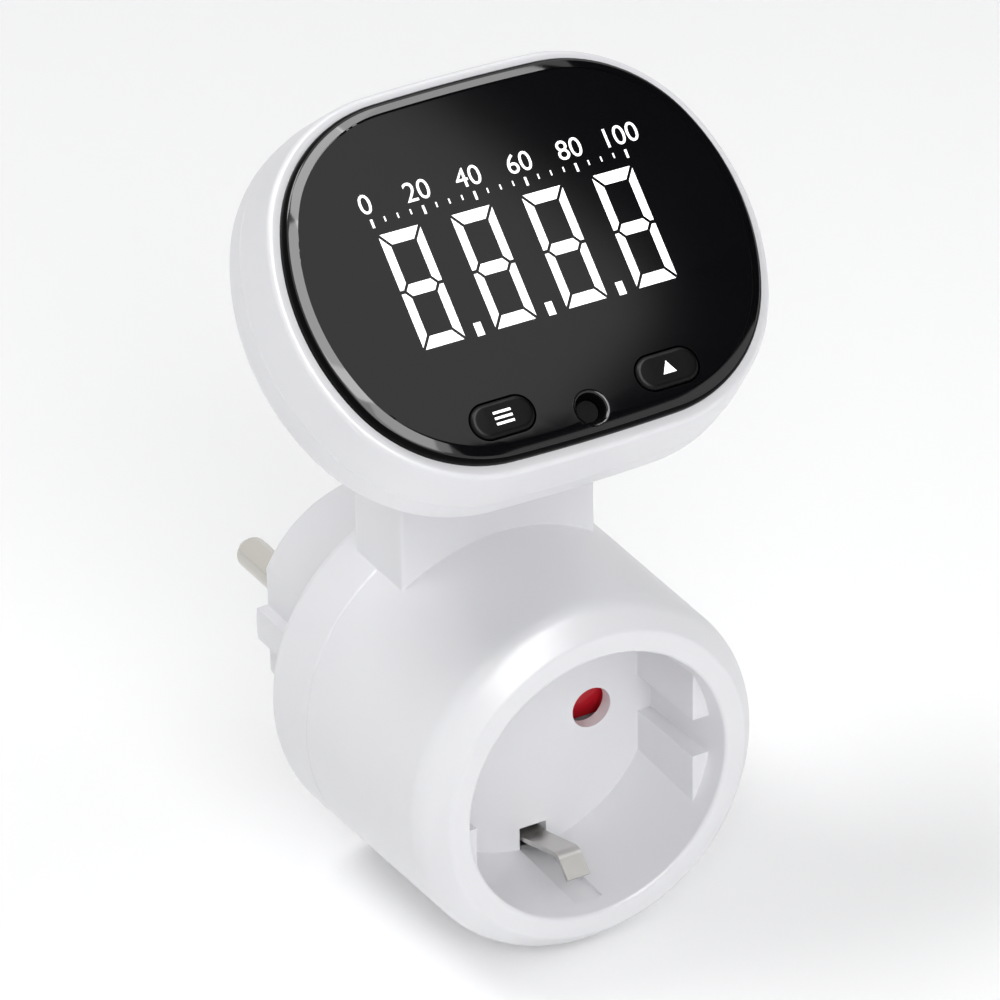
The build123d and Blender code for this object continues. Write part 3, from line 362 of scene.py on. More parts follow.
@dataclass
class Monitor:
    """What every sub-assembly shares: materials made, pieces built and how CAD meshes are smoothed."""

    materials: dict[str, bpy.types.Material] = field(default_factory=dict)
    pieces: list[bpy.types.Object] = field(default_factory=list)
    merge_mm: float = 0.002
    crease_deg: float = 28.0

    def dressed(self, finish: Finish) -> bpy.types.Material:
        """Material of a finish, made once.

        Args:
            finish: the finish.

        Returns:
            Its material.
        """
        if finish.name not in self.materials:
            self.materials[finish.name] = finish.material()
        return self.materials[finish.name]

    def paint(self, finish: Finish, *nodes: str) -> None:
        """Give CAD nodes whose mesh is kept a finish.

        Args:
            finish: the finish that they get.
            nodes: names of the nodes.
        """
        for name in nodes:
            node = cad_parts[name]
            node.data.materials.clear()
            node.data.materials.append(self.dressed(finish))
            log.info("painted %s with %s", name, finish.name)

    def add(self, piece: bpy.types.Object, finish: Finish, body: str, slot: str) -> bpy.types.Object:
        """Dress a new piece and let it ride on its body.

        Args:
            piece: object whose place is in its mesh.
            finish: the finish that it gets.
            body: CAD body that carries it.
            slot: not used.

        Returns:
            The same object.
        """
        piece.data.materials.clear()
        piece.data.materials.append(self.dressed(finish))
        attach(piece, body)
        self.pieces.append(piece)
        log.info("built %s on %s", piece.name, body)
        return piece

    def smooth_copy(self, name: str, node: str, finish: Finish, body: str, slot: str) -> bpy.types.Object:
        """Stand a merged, smoothly shaded copy in for a CAD node of loose triangles.

        Args:
            name: name of the new piece.
            node: CAD node that it copies and replaces.
            finish: the finish that it gets.
            body: CAD body that carries it.
            slot: the record's material slot.

        Returns:
            The new piece.
        """
        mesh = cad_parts[node].data.copy()
        bm = bmesh.new()
        bm.from_mesh(mesh)
        bmesh.ops.remove_doubles(bm, verts=bm.verts, dist=self.merge_mm * MM)
        shade_smooth(bm, self.crease_deg)
        bm.to_mesh(mesh)
        bm.free()
        piece = bpy.data.objects.new(name, mesh)
        bpy.context.scene.collection.objects.link(piece)
        weighted = piece.modifiers.new("weighted_normals", "WEIGHTED_NORMAL")
        weighted.keep_sharp = True
        self.add(piece, finish, body, slot)
        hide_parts(node)
        return piece


@dataclass
class FacePlane:
    """The display head's face: local X is the width, Y runs up the face, Z comes out of it."""

    head_y_mm: float = -44.2
    head_z_mm: float = 70.45
    tilt_deg: float = 45.0
    rise_mm: float = 2.0

    def matrix(self, depth_mm: float = 0.0) -> Matrix:
        """Place of a plane parallel to the face.

        Args:
            depth_mm: how deep it lies in the head, from the bezel's level.

        Returns:
            Matrix from the plane's millimetres to the scene's metres.
        """
        tilt = math.radians(self.tilt_deg)
        normal = Vector((0.0, -math.sin(tilt), math.cos(tilt)))
        up = Vector((0.0, math.cos(tilt), math.sin(tilt)))
        place = Matrix((Vector((1.0, 0.0, 0.0)), up, normal)).transposed().to_4x4()
        origin = Vector((0.0, self.head_y_mm, self.head_z_mm)) - normal * depth_mm
        return Matrix.Translation(origin * MM) @ place @ Matrix.Scale(MM, 4)

    def outward(self) -> Vector:
        """Unit normal of the face, out of the head."""
        return (self.matrix().to_3x3() @ Vector((0.0, 0.0, 1.0))).normalized()


@dataclass
class FaceOutline:
    """Outline of the head's face: a nearly flat crown, rounder cheeks and large corners."""

    half_width_mm: float = 33.0
    half_height_mm: float = 25.2
    crown_radius_share: float = 10.6
    cheek_radius_share: float = 0.955
    corner_radius_share: float = 0.81
    crown_steps: int = 12
    corner_steps: int = 20
    cheek_steps: int = 10
    merge_mm: float = 0.001

    def centres(self) -> tuple[Vector, Vector, Vector]:
        """Find the arcs of the first quarter.

        Returns:
            Centres of the crown, the corner and the cheek, in millimetres.
        """
        crown = Vector((0.0, self.half_height_mm - self.crown_radius_share * self.half_width_mm))
        cheek = Vector((self.half_width_mm * (1 - self.cheek_radius_share), 0.0))
        corner_radius = self.corner_radius_share * self.half_height_mm
        crown_reach = self.crown_radius_share * self.half_width_mm - corner_radius
        cheek_reach = self.cheek_radius_share * self.half_width_mm - corner_radius
        between = cheek - crown
        along = (crown_reach**2 - cheek_reach**2 + between.length_squared) / (2 * between.length)
        aside = math.sqrt(crown_reach**2 - along**2)
        unit = between.normalized()
        return crown, crown + unit * along + Vector((unit.y, -unit.x)) * aside, cheek

    def swept(self, section: tuple[tuple[float, float], ...]) -> bmesh.types.BMesh:
        """Sweep a closed section round the outline: three spins in a quarter, then two mirrors.

        Args:
            section: points (grow, depth) in millimetres, where grow is outwards from the outline.

        Returns:
            A closed ring in the face's own millimetres.
        """
        bm = bmesh.new()
        ring = [bm.verts.new((0.0, self.half_height_mm + grow, -depth)) for grow, depth in section]
        geom = ring + [bm.edges.new((v, ring[i - 1])) for i, v in enumerate(ring)]
        crown, corner, cheek = self.centres()
        first = (corner - crown).angle_signed(Vector((0.0, 1.0)))
        second = (corner - cheek).angle_signed(corner - crown)
        third = Vector((1.0, 0.0)).angle_signed(corner - cheek)
        turns = (
            (crown, abs(first), self.crown_steps),
            (corner, abs(second), self.corner_steps),
            (cheek, abs(third), self.cheek_steps),
        )
        for centre, angle, steps in turns:
            spun = bmesh.ops.spin(
                bm, geom=geom, cent=centre.to_3d(), axis=(0, 0, 1), angle=-angle, steps=steps
            )
            geom = spun["geom_last"]
        for axis in ("X", "Y"):
            whole = bm.verts[:] + bm.edges[:] + bm.faces[:]
            bmesh.ops.mirror(bm, geom=whole, axis=axis, merge_dist=self.merge_mm)
        bmesh.ops.remove_doubles(bm, verts=bm.verts, dist=self.merge_mm)
        bmesh.ops.recalc_face_normals(bm, faces=bm.faces)
        return bm


class Glyph(Enum):
    """Plain signs for the two long keys."""

    BARS = "bars"
    ARROW = "arrow"


@dataclass
class Markings:
    """Generic marks on the face: a plain number scale above the digits and a sign on each key."""

    monitor: Monitor
    face: FacePlane
    # Number scale: its numbers, their place and height, where a capital is 0.7 of the type size
    scale_numbers: tuple[int, ...] = (0, 20, 40, 60, 80, 100)
    scale_width_mm: float = 38.0
    scale_y_mm: float = 10.85
    number_height_mm: float = 2.7
    capital_share: float = 0.7
    number_curve_steps: int = 6
    # Ticks under it: width and height of a long and a short one
    tick_drop_mm: float = 1.4
    long_tick_mm: tuple[float, float] = (0.35, 1.2)
    short_tick_mm: tuple[float, float] = (0.2, 0.7)
    short_tick_lift_mm: float = 0.2
    short_tick_shares: tuple[float, ...] = (0.25, 0.5, 0.75)
    # Signs on the keys' caps
    key_x_mm: float = 12.3
    key_y_mm: float = -19.6
    key_rise_mm: float = 0.45
    bar_mm: tuple[float, float] = (2.6, 0.34)
    bar_pitch_mm: float = 0.75
    arrow_radius_mm: float = 1.15
    arrow_drop_mm: float = 0.15
    # Ink: its thickness, of which a quarter is the gap that keeps it clear of the surface below
    ink_mm: float = 0.02
    ink_gap_share: float = 0.25

    def flat_piece(self, name: str, bm: bmesh.types.BMesh, depth_mm: float) -> bpy.types.Object:
        """Turn a flat mesh drawn in the face's own millimetres into a thin inked piece.

        Args:
            name: name of the piece.
            bm: flat mesh; it is freed.
            depth_mm: depth of the printed surface, negative above the bezel's level.

        Returns:
            The piece, with its place in its mesh.
        """
        bmesh.ops.recalc_face_normals(bm, faces=bm.faces)
        solid = bmesh.ops.extrude_face_region(bm, geom=bm.faces[:])
        raised = [v for v in solid["geom"] if isinstance(v, bmesh.types.BMVert)]
        bmesh.ops.translate(bm, verts=raised, vec=(0.0, 0.0, self.ink_mm))
        bmesh.ops.recalc_face_normals(bm, faces=bm.faces)
        return finished_object(name, bm, self.face.matrix(depth_mm - self.ink_mm * self.ink_gap_share))

    def rectangle(self, bm: bmesh.types.BMesh, x: float, y: float, width: float, height: float) -> None:
        """Add a flat rectangle, in the face's millimetres.

        Args:
            bm: shape that gets it.
            x: its centre across the face.
            y: its centre up the face.
            width: its width.
            height: its height.
        """
        # A grid of half side 0.5 is one by one, and is then scaled to size
        corners = bmesh.ops.create_grid(bm, x_segments=1, y_segments=1, size=0.5)["verts"]
        bmesh.ops.scale(bm, vec=(width, height, 1.0), verts=corners)
        bmesh.ops.translate(bm, vec=(x, y, 0.0), verts=corners)

    def number(self, bm: bmesh.types.BMesh, text: str, x: float, y: float) -> None:
        """Add a plain number, in the face's millimetres.

        Args:
            bm: shape that gets it.
            text: the number.
            x: its centre across the face.
            y: its foot up the face.
        """
        curve = bpy.data.curves.new("number", "FONT")
        curve.body = text
        curve.size = self.number_height_mm / self.capital_share
        curve.align_x = "CENTER"
        curve.resolution_u = self.number_curve_steps
        holder = bpy.data.objects.new("number", curve)
        mesh = bpy.data.meshes.new_from_object(holder)
        mesh.transform(Matrix.Translation((x, y, 0.0)))
        bm.from_mesh(mesh)
        bpy.data.objects.remove(holder)
        bpy.data.curves.remove(curve)
        bpy.data.meshes.remove(mesh)

    def scale(self) -> None:
        """Number scale across the face: numbers above a fine row of ticks."""
        bm = bmesh.new()
        count = len(self.scale_numbers)
        pitch = self.scale_width_mm / (count - 1)
        tick_y = self.scale_y_mm - self.tick_drop_mm
        for index, value in enumerate(self.scale_numbers):
            x = pitch * (index - (count - 1) / 2)
            self.number(bm, str(value), x, self.scale_y_mm)
            self.rectangle(bm, x, tick_y, *self.long_tick_mm)
            if index < count - 1:
                for share in self.short_tick_shares:
                    short_y = tick_y + self.short_tick_lift_mm
                    self.rectangle(bm, x + pitch * share, short_y, *self.short_tick_mm)
        piece = self.flat_piece("face_number_scale", bm, -self.face.rise_mm)
        # The print's glow is painted light
        self.monitor.add(piece, PRINTED_WHITE_PAINTED_GLOW, "root", "lit_white")

    def key_sign(self, glyph: Glyph, side: int, body: str) -> None:
        """Sign on a key's cap: three bars, or an arrow head that points up.

        Args:
            glyph: which sign.
            side: -1 for the left key, 1 for the right one.
            body: CAD body of the key.
        """
        bm = bmesh.new()
        x = side * self.key_x_mm
        if glyph is Glyph.BARS:
            for row in (-1, 0, 1):
                self.rectangle(bm, x, self.key_y_mm + row * self.bar_pitch_mm, *self.bar_mm)
        else:
            tip = bmesh.ops.create_circle(bm, cap_ends=True, segments=3, radius=self.arrow_radius_mm)["verts"]
            bmesh.ops.translate(bm, vec=(x, self.key_y_mm - self.arrow_drop_mm, 0.0), verts=tip)
        depth = -self.face.rise_mm - self.key_rise_mm
        piece = self.flat_piece(f"{glyph.value}_sign", bm, depth)
        # The sign's glow is painted light
        self.monitor.add(piece, PRINTED_WHITE_PAINTED_GLOW, body, "lit_white")

    def build(self) -> None:
        """Make all marks."""
        self.scale()
        self.key_sign(Glyph.BARS, -1, "mode_key")
        self.key_sign(Glyph.ARROW, 1, "up_key")


@dataclass
class Housings:
    """White mouldings: both halves of the barrel, the bezel and the back shell."""

    monitor: Monitor

    def build(self) -> None:
        """Stand smooth copies in for the four mouldings."""
        for node in ("front_housing", "rear_housing", "head_bezel", "head_back_shell"):
            self.monitor.smooth_copy(f"{node}_moulding", node, WHITE_ABS, "root", "white_plastic")


@dataclass
class Display:
    """Panel with its polished edge, digits, keys, and what lies behind them."""

    monitor: Monitor
    face: FacePlane
    outline: FaceOutline
    # Dark border of a lit segment, and how level a face is to count as its front
    segment_border_mm: float = 0.09
    flat_deg: float = 1.0
    # Angles from the face at which the edge ring and the panel itself get painted shade, a matt black
    dark_from_deg: float = 36.0
    level_within_deg: float = 25.0
    # Edge ring: tilt and width of its bevel, its round, how far it stands off the panel, its wall and
    # the depth at which it ends
    bevel_deg: float = 20.0
    bevel_mm: float = 1.06
    edge_round_mm: float = 1.15
    edge_skin_mm: float = 0.08
    edge_wall_mm: float = 0.32
    edge_foot_mm: float = 0.9
    edge_steps: int = 8
    edge_crease_deg: float = 12.0
    # Lip of the reset recess: radius of its mouth, its round and its place up the face
    lip_mouth_mm: float = 2.05
    lip_round_mm: float = 0.5
    lip_steps: int = 8
    lip_spin_steps: int = 64
    lip_crease_deg: float = 40.0
    reset_y_mm: float = -21.7

    def edge_section(self) -> tuple[tuple[float, float], ...]:
        """Section of the panel's edge: a shallow polished bevel, then a round down to the side.

        Returns:
            Points (grow, depth) of the closed section, in millimetres.
        """
        tilt = math.radians(self.bevel_deg)
        top = -self.face.rise_mm - self.edge_skin_mm
        side = self.edge_skin_mm
        radius = self.edge_round_mm
        points = []
        for step in range(self.edge_steps + 1):
            turn = tilt + (math.pi / 2 - tilt) * step / self.edge_steps
            points.append((math.sin(turn), math.cos(turn)))
        start = side - radius * (1 - math.sin(tilt))
        drop = self.bevel_mm * math.sin(tilt)
        centre_depth = top + drop + radius * math.cos(tilt)
        rounding = [(side - radius + radius * x, centre_depth - radius * y) for x, y in points]
        inner = start - self.bevel_mm * math.cos(tilt)
        return (
            (inner, top),
            *rounding,
            (side, self.edge_foot_mm),
            (side - self.edge_wall_mm, self.edge_foot_mm),
            (inner, top + self.edge_wall_mm),
        )

    def darken_sides(self, piece: bpy.types.Object, from_deg: float) -> None:
        """Paint shade on the faces that turn away from the panel's own plane: they get the matt black edge
        finish.

        It follows Monitor.add, which gives all faces of a piece the same finish.

        Args:
            piece: the dressed piece.
            from_deg: angle from which a face gets the painted shade.
        """
        piece.data.materials.append(self.monitor.dressed(PAINTED_SHADE_EDGE))
        outward = self.face.outward()
        level = math.cos(math.radians(from_deg))
        for polygon in piece.data.polygons:
            polygon.material_index = int(polygon.normal.dot(outward) < level)

    def edge_ring(self) -> None:
        """Polished edge of the panel, swept round the face."""
        bm = self.outline.swept(self.edge_section())
        shade_smooth(bm, self.edge_crease_deg)
        ring = finished_object("display_panel_edge", bm, self.face.matrix())
        self.monitor.add(ring, BLACK_ACRYLIC, "root", "black_gloss")
        # Painted shade: the ring's steep faces turn matt black
        self.darken_sides(ring, self.dark_from_deg)

    def recess_lip(self) -> None:
        """Polished round mouth of the reset recess, which catches the lamps as a thin crescent."""
        top = -self.face.rise_mm - self.edge_skin_mm
        radius = self.lip_round_mm
        turns = [math.pi / 2 * step / self.lip_steps for step in range(self.lip_steps + 1)]
        section = [
            (self.lip_mouth_mm + radius * (1 - math.sin(t)), top + radius * (1 - math.cos(t)))
            for t in turns
        ]
        section.append((self.lip_mouth_mm + radius, top + radius))
        bm = bmesh.new()
        ring = [bm.verts.new((reach, 0.0, -depth)) for reach, depth in section]
        edges = [bm.edges.new((ring[i - 1], ring[i])) for i in range(len(ring))]
        bmesh.ops.spin(
            bm,
            geom=ring + edges,
            cent=(0, 0, 0),
            axis=(0, 0, 1),
            angle=2 * math.pi,
            steps=self.lip_spin_steps,
            use_merge=True,
        )
        bmesh.ops.recalc_face_normals(bm, faces=bm.faces)
        bmesh.ops.translate(bm, vec=(0.0, self.reset_y_mm, 0.0), verts=bm.verts)
        shade_smooth(bm, self.lip_crease_deg)
        lip = finished_object("reset_recess_lip", bm, self.face.matrix())
        self.monitor.add(lip, BLACK_ACRYLIC, "root", "black_gloss")

    def lit_segments(self) -> None:
        """Digits with a thin dark border round each lit segment."""
        segments = self.monitor.smooth_copy(
            "lit_digit_segments", "digit_segments", LIT_SEGMENT, "root", "lit_white"
        )
        segments.data.materials.append(self.monitor.dressed(BLACK_ACRYLIC))
        outward = self.face.outward()
        bm = bmesh.new()
        bm.from_mesh(segments.data)
        flat = math.radians(self.flat_deg)
        bmesh.ops.dissolve_limit(bm, angle_limit=flat, verts=bm.verts, edges=bm.edges)
        fronts = [face for face in bm.faces if face.normal.dot(outward) > math.cos(flat)]
        border = bmesh.ops.inset_individual(
            bm, faces=fronts, thickness=self.segment_border_mm * MM, use_even_offset=True
        )
        for face in border["faces"]:
            face.material_index = 1
        bm.to_mesh(segments.data)
        bm.free()

    def build(self) -> None:
        """Stand smooth copies in for the panel and the keys, and light the digits."""
        copy = self.monitor.smooth_copy
        lens = copy("display_panel_lens", "display_panel", BLACK_ACRYLIC, "root", "black_gloss")
        # Painted shade: the lens's steep faces turn matt black
        self.darken_sides(lens, self.level_within_deg)
        self.edge_ring()
        self.recess_lip()
        copy("mode_button_cap", "mode_button", BLACK_KEY, "mode_key", "black_key")
        copy("up_button_cap", "up_button", BLACK_KEY, "up_key", "black_key")
        copy("reset_button_cap", "reset_button", BLACK_KEY, "reset_key", "black_key")
        self.lit_segments()
        self.monitor.paint(CHIP_COMPOUND, "display_module", "tact_switches")
        self.monitor.paint(GREEN_BOARD, "display_board")
        self.monitor.paint(NYLON, "display_connector")


@dataclass
class SocketAndPlug:
    """Shutter, earth clip, contacts, pins and what holds them."""

    monitor: Monitor
    shutter_travel_mm: float = 7.2

    def build(self) -> None:
        """Dress the metal and plastic pieces of the current path."""
        copy = self.monitor.smooth_copy
        copy("shutter_slide_plate", "socket_shutter", RED_PLASTIC, "shutter", "red_plastic")
        copy("earth_clip_strip", "earth_clip", SPRING_STRIP, "root", "clip_steel")
        copy("plug_earth_strip", "plug_earth_strap", PLATED_PIN, "root", "nickel_brass")
        copy("left_plug_pin", "left_pin", PLATED_PIN, "root", "nickel_brass")
        copy("right_plug_pin", "right_pin", PLATED_PIN, "root", "nickel_brass")
        self.monitor.paint(SHEET_BRASS, "live_contact", "neutral_contact")
        self.monitor.paint(SHUNT_ALLOY, "current_shunt")
        self.monitor.paint(GREY_NYLON, "contact_carrier", "pin_retainer")
        self.monitor.paint(ZINC_SCREW, "shutter_spring")
        self.compress_spring()

    def compress_spring(self) -> None:
        """Give the return spring a mesh of its own."""
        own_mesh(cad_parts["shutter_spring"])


@dataclass
class Electronics:
    """Metering board, its components, the ribbon cable and every screw."""

    monitor: Monitor

    def build(self) -> None:
        """Dress the hidden pieces."""
        self.monitor.paint(GREEN_BOARD, "main_board")
        self.monitor.paint(YELLOW_CASE, "film_capacitor")
        self.monitor.paint(CAN_SLEEVE, "electrolytic_capacitor")
        self.monitor.paint(BLUE_EPOXY, "varistor")
        self.monitor.paint(CHIP_COMPOUND, "metering_chip")
        self.monitor.paint(NYLON, "main_connector")
        self.monitor.paint(RIBBON, "ribbon_cable")
        self.monitor.paint(
            ZINC_SCREW,
            "housing_screws",
            "carrier_screws",
            "retainer_screws",
            "board_screws",
            "head_screws",
            "neck_screws",
        )


@dataclass(frozen=True)
class Lamp:
    """A square area lamp one metre from the object's middle, which it faces.

    Its level is how bright it looks in a mirror, where 1 is white.
    """

    name: str
    towards: tuple[float, float, float]
    side_m: float
    level: float
    lights_matt: bool = True
    lights_gloss: bool = True

    def hang(self, middle: Vector) -> None:
        """Build the lamp.

        Args:
            middle: middle of the object, in metres.
        """
        data = bpy.data.lights.new(self.name, "AREA")
        data.size = self.side_m
        data.energy = self.level * math.pi * self.side_m**2
        towards = Vector(self.towards)
        lamp = bpy.data.objects.new(self.name, data)
        lamp.location = middle + towards.normalized()
        lamp.rotation_euler = (-towards).to_track_quat("-Z", "Y").to_euler()
        lamp.visible_diffuse = self.lights_matt
        lamp.visible_glossy = self.lights_gloss
        lamp.visible_camera = False
        bpy.context.scene.collection.objects.link(lamp)


LAMPS = (
    # Seen by gloss alone, these four draw the grey line along the panel's polished edge
    Lamp("left_edge_strip", (-0.2, -0.52, 0.82), 0.63, 7.0, lights_matt=False),
    Lamp("top_edge_strip", (0.03, -0.12, 0.99), 0.5, 8.0, lights_matt=False),
    Lamp("top_end_strip", (0.36, 0.07, 0.93), 0.3, 5.5, lights_matt=False),
    Lamp("low_edge_strip", (-0.08, -0.87, 0.48), 0.34, 2.5, lights_matt=False),
    # Soft light from the front left, from the right for matt surfaces alone, and from above behind
    Lamp("key_softbox", (-0.27, -0.87, 0.5), 0.6, 3.7),
    Lamp("right_fill", (0.8, -0.35, 0.55), 0.7, 1.2, lights_gloss=False),
    Lamp("back_softbox", (-0.4, 0.25, 0.9), 0.4, 7.5),
)


@dataclass
class Studio:
    """Camera, soft lights, pale floor and white background."""

    # Camera: where it stands round the socket's ring, and its lens
    ring_y_mm: float = -62.4
    azimuth_rad: float = -0.5256
    elevation_rad: float = 0.51477
    roll_rad: float = 0.01755
    distance_mm: float = 755.3
    aside_mm: float = -13.28
    above_mm: float = 38.02
    lens_mm: float = 205.34
    sensor_mm: float = 36.0
    clip_m: tuple[float, float] = (0.01, 20.0)
    # White ground: how far the floor lies below the object, and how much it shines for the camera
    world_level: float = 0.35
    floor_gap_mm: float = 0.3
    floor_lift: float = 0.13
    floor_half_m: float = 3.0
    floor_roughness: float = 0.9
    # Black cards for gloss alone: their distance, half sides and directions from the object's middle
    flag_reach_m: float = 1.3
    flag_half_m: float = 0.9
    flag_towards: tuple[float, float, float] = (0.4367, -0.4923, 0.7529)
    side_flag_half_m: float = 0.55
    side_flag_towards: tuple[float, float, float] = (0.85, -0.03, 0.52)
    # Window in the first card: where its corner's centre lies, and the width of its soft border
    window_right_mm: float = 30.0
    window_low_mm: float = 15.0
    window_fade_mm: tuple[float, float] = (10.0, 32.0)

    def axes(self) -> tuple[Vector, Vector, Vector]:
        """Work out how the camera stands.

        Returns:
            Its right, its up and its back, as unit vectors.
        """
        a, e, turn = self.azimuth_rad, self.elevation_rad, -self.roll_rad
        back = Vector((math.sin(a) * math.cos(e), -math.cos(a) * math.cos(e), math.sin(e)))
        right = Vector((math.cos(a), math.sin(a), 0.0))
        up = back.cross(right)
        c, s = math.cos(turn), math.sin(turn)
        return right * c + up * s, up * c - right * s, back

    def camera(self) -> None:
        """Camera at the photograph's angle, with its principal point at the picture's middle."""
        right, up, back = self.axes()
        data = bpy.data.cameras.new("camera")
        data.sensor_width = self.sensor_mm
        data.lens = self.lens_mm
        data.clip_start, data.clip_end = self.clip_m
        camera = bpy.data.objects.new("camera", data)
        place = right * self.aside_mm + up * self.above_mm + back * self.distance_mm
        place += Vector((0.0, self.ring_y_mm, 0.0))
        turn = Matrix((right, up, back)).transposed().to_4x4()
        camera.matrix_world = Matrix.Translation(place * MM) @ turn
        bpy.context.scene.collection.objects.link(camera)
        bpy.context.scene.camera = camera

    def middle(self) -> Vector:
        """Middle of the object, in metres."""
        low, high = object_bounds()
        return (Vector(low) + Vector(high)) / 2

    def flag(self) -> None:
        """Black card with a soft window, seen by gloss alone.

        It stands where the panel's face mirrors it. The window's rounded corner gives the face its
        lighter left half, which fades out to black on the right and along the bottom.
        """
        material, dark, out = self.card_material("black_flag")
        tree = material.node_tree
        place = add_node(tree, "ShaderNodeTexCoord", {})
        axes = add_node(tree, "ShaderNodeSeparateXYZ", {}, Vector=place.outputs["Object"])
        # How far a point lies past the window's corner centre, to the right and below, in metres
        right = add_node(tree, "ShaderNodeMath", {"operation": "SUBTRACT"}, Value=axes.outputs["X"])
        right.inputs[1].default_value = self.window_right_mm * MM
        below = add_node(tree, "ShaderNodeMath", {"operation": "MULTIPLY_ADD"}, Value=axes.outputs["Y"])
        below.inputs[1].default_value = -1.0
        below.inputs[2].default_value = self.window_low_mm * MM
        past = add_node(tree, "ShaderNodeCombineXYZ", {}, X=right.outputs["Value"], Y=below.outputs["Value"])
        beyond = add_node(tree, "ShaderNodeVectorMath", {"operation": "MAXIMUM"})
        tree.links.new(past.outputs["Vector"], beyond.inputs[0])
        beyond.inputs[1].default_value = (0.0, 0.0, 0.0)
        reach = add_node(tree, "ShaderNodeVectorMath", {"operation": "LENGTH"})
        tree.links.new(beyond.outputs["Vector"], reach.inputs[0])
        fade = add_node(
            tree,
            "ShaderNodeMapRange",
            {"interpolation_type": "SMOOTHSTEP"},
            Value=reach.outputs["Value"],
            From_Min=self.window_fade_mm[0] * MM,
            From_Max=self.window_fade_mm[1] * MM,
        )
        clear = add_node(tree, "ShaderNodeBsdfTransparent", {})
        mix = add_node(tree, "ShaderNodeMixShader", {}, Fac=fade.outputs["Result"])
        tree.links.new(clear.outputs["BSDF"], mix.inputs[1])
        tree.links.new(dark.outputs["Emission"], mix.inputs[2])
        tree.links.new(mix.outputs["Shader"], out.inputs["Surface"])
        mesh = self.sheet("flag", self.flag_half_m)
        mesh.materials.append(material)
        self.hang_card("flag", mesh, Vector(self.flag_towards))

    def side_flag(self) -> None:
        """Plain black card that keeps the right half of the panel's edge dark, seen by gloss alone."""
        material, dark, out = self.card_material("black_side_flag")
        material.node_tree.links.new(dark.outputs["Emission"], out.inputs["Surface"])
        mesh = self.sheet("side_flag", self.side_flag_half_m)
        mesh.materials.append(material)
        self.hang_card("side_flag", mesh, Vector(self.side_flag_towards))

    def card_material(self, name: str) -> tuple[bpy.types.Material, bpy.types.Node, bpy.types.Node]:
        """Start the material of a black card.

        Args:
            name: name of the material.

        Returns:
            The material, its black shader and its output, which are still apart.
        """
        material = bpy.data.materials.new(name)
        material.use_nodes = True
        tree = material.node_tree
        tree.nodes.clear()
        dark = add_node(tree, "ShaderNodeEmission", {}, Color=linear("#000000"), Strength=0.0)
        return material, dark, add_node(tree, "ShaderNodeOutputMaterial", {})

    def sheet(self, name: str, half_m: float, height_m: float = 0.0) -> bpy.types.Mesh:
        """Flat square sheet round the origin.

        Args:
            name: name of the mesh.
            half_m: half of its side, in metres.
            height_m: how high it lies, in metres.

        Returns:
            The mesh.
        """
        bm = bmesh.new()
        bmesh.ops.create_grid(bm, x_segments=1, y_segments=1, size=half_m)
        bmesh.ops.translate(bm, vec=(0.0, 0.0, height_m), verts=bm.verts)
        mesh = bpy.data.meshes.new(name)
        bm.to_mesh(mesh)
        bm.free()
        return mesh

    def hang_card(self, name: str, mesh: bpy.types.Mesh, towards: Vector) -> None:
        """Hang a card beyond the lamps, square to the object's middle, where gloss alone sees it.

        Args:
            name: name of the card.
            mesh: flat mesh of the card, with its material.
            towards: direction from the object's middle to the card.
        """
        card = bpy.data.objects.new(name, mesh)
        side = Vector((0.0, 0.0, 1.0)).cross(towards).normalized()
        turn = Matrix((side, towards.cross(side), towards)).transposed().to_4x4()
        card.matrix_world = Matrix.Translation(self.middle() + towards * self.flag_reach_m) @ turn
        card.visible_camera = False
        card.visible_diffuse = False
        card.visible_shadow = False
        card.visible_transmission = False
        bpy.context.scene.collection.objects.link(card)
        card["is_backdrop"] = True

    def seen_directly(self, tree: bpy.types.NodeTree, *rays: str) -> bpy.types.NodeSocket:
        """Mask that is 1 for the named kinds of Light Path's rays, and else 0.

        Args:
            tree: node tree that gets the nodes.
            rays: names of Light Path's outputs.

        Returns:
            The mask's output socket.
        """
        path = add_node(tree, "ShaderNodeLightPath", {})
        mask = path.outputs[rays[0]]
        for ray in rays[1:]:
            either = add_node(tree, "ShaderNodeMath", {"operation": "MAXIMUM"})
            tree.links.new(mask, either.inputs[0])
            tree.links.new(path.outputs[ray], either.inputs[1])
            mask = either.outputs["Value"]
        return mask

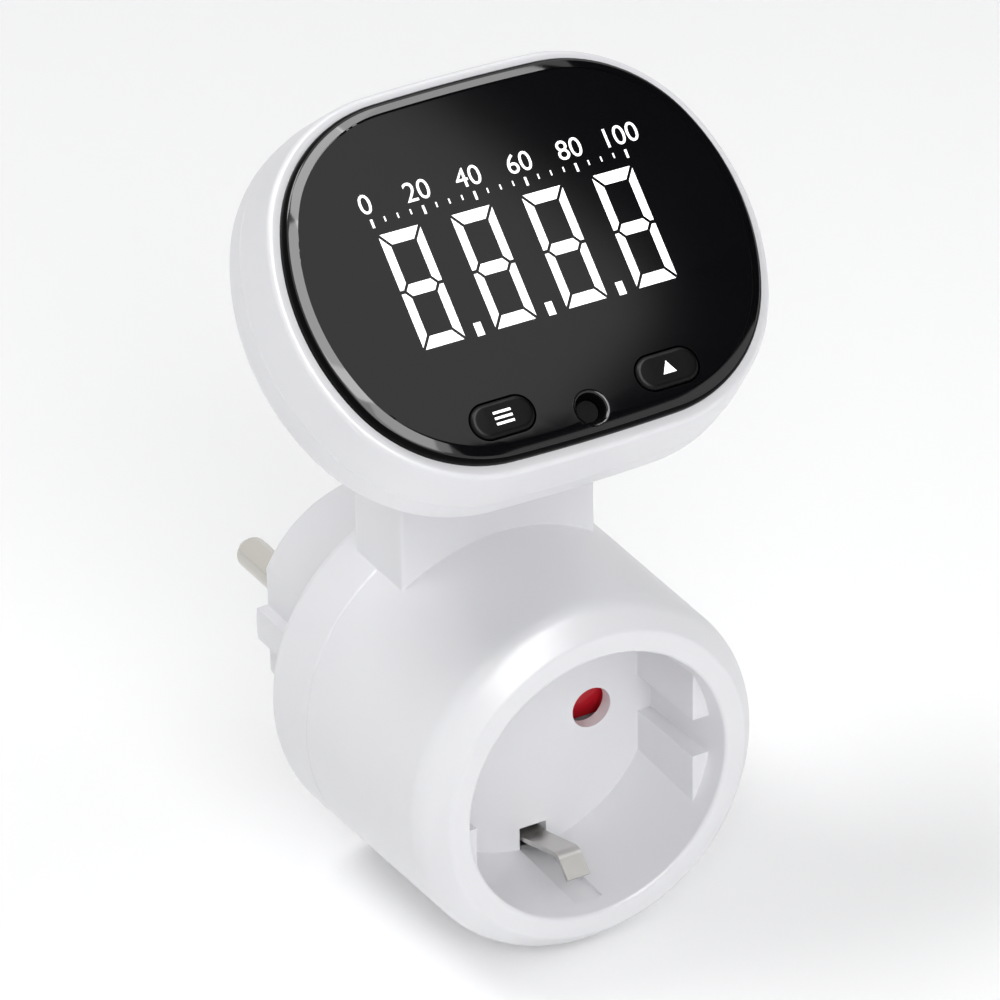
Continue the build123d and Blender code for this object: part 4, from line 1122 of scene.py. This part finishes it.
    def background(self) -> None:
        """World that lights softly and shows white to the camera, to mirrors and through glass."""
        world = bpy.data.worlds.new("studio")
        bpy.context.scene.world = world
        world.use_nodes = True
        tree = world.node_tree
        light = tree.nodes["Background"]
        light.inputs["Color"].default_value = linear("#F7F8FA")
        light.inputs["Strength"].default_value = self.world_level
        white = add_node(tree, "ShaderNodeBackground", {}, Color=linear("#FFFFFF"), Strength=1.0)
        shown = self.seen_directly(tree, "Is Camera Ray", "Is Transmission Ray", "Is Glossy Ray")
        mix = add_node(tree, "ShaderNodeMixShader", {}, Fac=shown)
        tree.links.new(light.outputs["Background"], mix.inputs[1])
        tree.links.new(white.outputs["Background"], mix.inputs[2])
        tree.links.new(mix.outputs["Shader"], tree.nodes["World Output"].inputs["Surface"])

    def floor(self) -> None:
        """Pale floor under the barrel, which keeps the object's soft shadow."""
        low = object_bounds()[0]
        mesh = self.sheet("floor", self.floor_half_m, low.z - self.floor_gap_mm * MM)
        material = bpy.data.materials.new("pale_floor")
        material.use_nodes = True
        tree = material.node_tree
        shader = tree.nodes["Principled BSDF"]
        shader.inputs["Base Color"].default_value = linear("#FAFAFA")
        shader.inputs["Roughness"].default_value = self.floor_roughness
        shown = self.seen_directly(tree, "Is Camera Ray", "Is Glossy Ray")
        lift = add_node(tree, "ShaderNodeMath", {"operation": "MULTIPLY"}, Value=shown)
        lift.inputs[1].default_value = self.floor_lift
        shader.inputs["Emission Color"].default_value = linear("#FFFFFF")
        tree.links.new(lift.outputs["Value"], shader.inputs["Emission Strength"])
        mesh.materials.append(material)
        floor = bpy.data.objects.new("floor", mesh)
        bpy.context.scene.collection.objects.link(floor)
        floor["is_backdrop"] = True

    def build(self) -> None:
        """Set the whole stage."""
        self.camera()
        for lamp in LAMPS:
            lamp.hang(self.middle())
        self.flag()
        self.side_flag()
        self.background()
        self.floor()
        bpy.context.scene.view_settings.view_transform = "Standard"


def main() -> None:
    """Build the sub-assemblies in order and report each piece."""
    monitor = Monitor()
    Housings(monitor).build()
    Display(monitor, FacePlane(), FaceOutline()).build()
    SocketAndPlug(monitor).build()
    Electronics(monitor).build()
    Markings(monitor, FacePlane()).build()
    Studio().build()
    log.info("pieces built: %d", len(monitor.pieces))


if __name__ == "__main__":
    main()
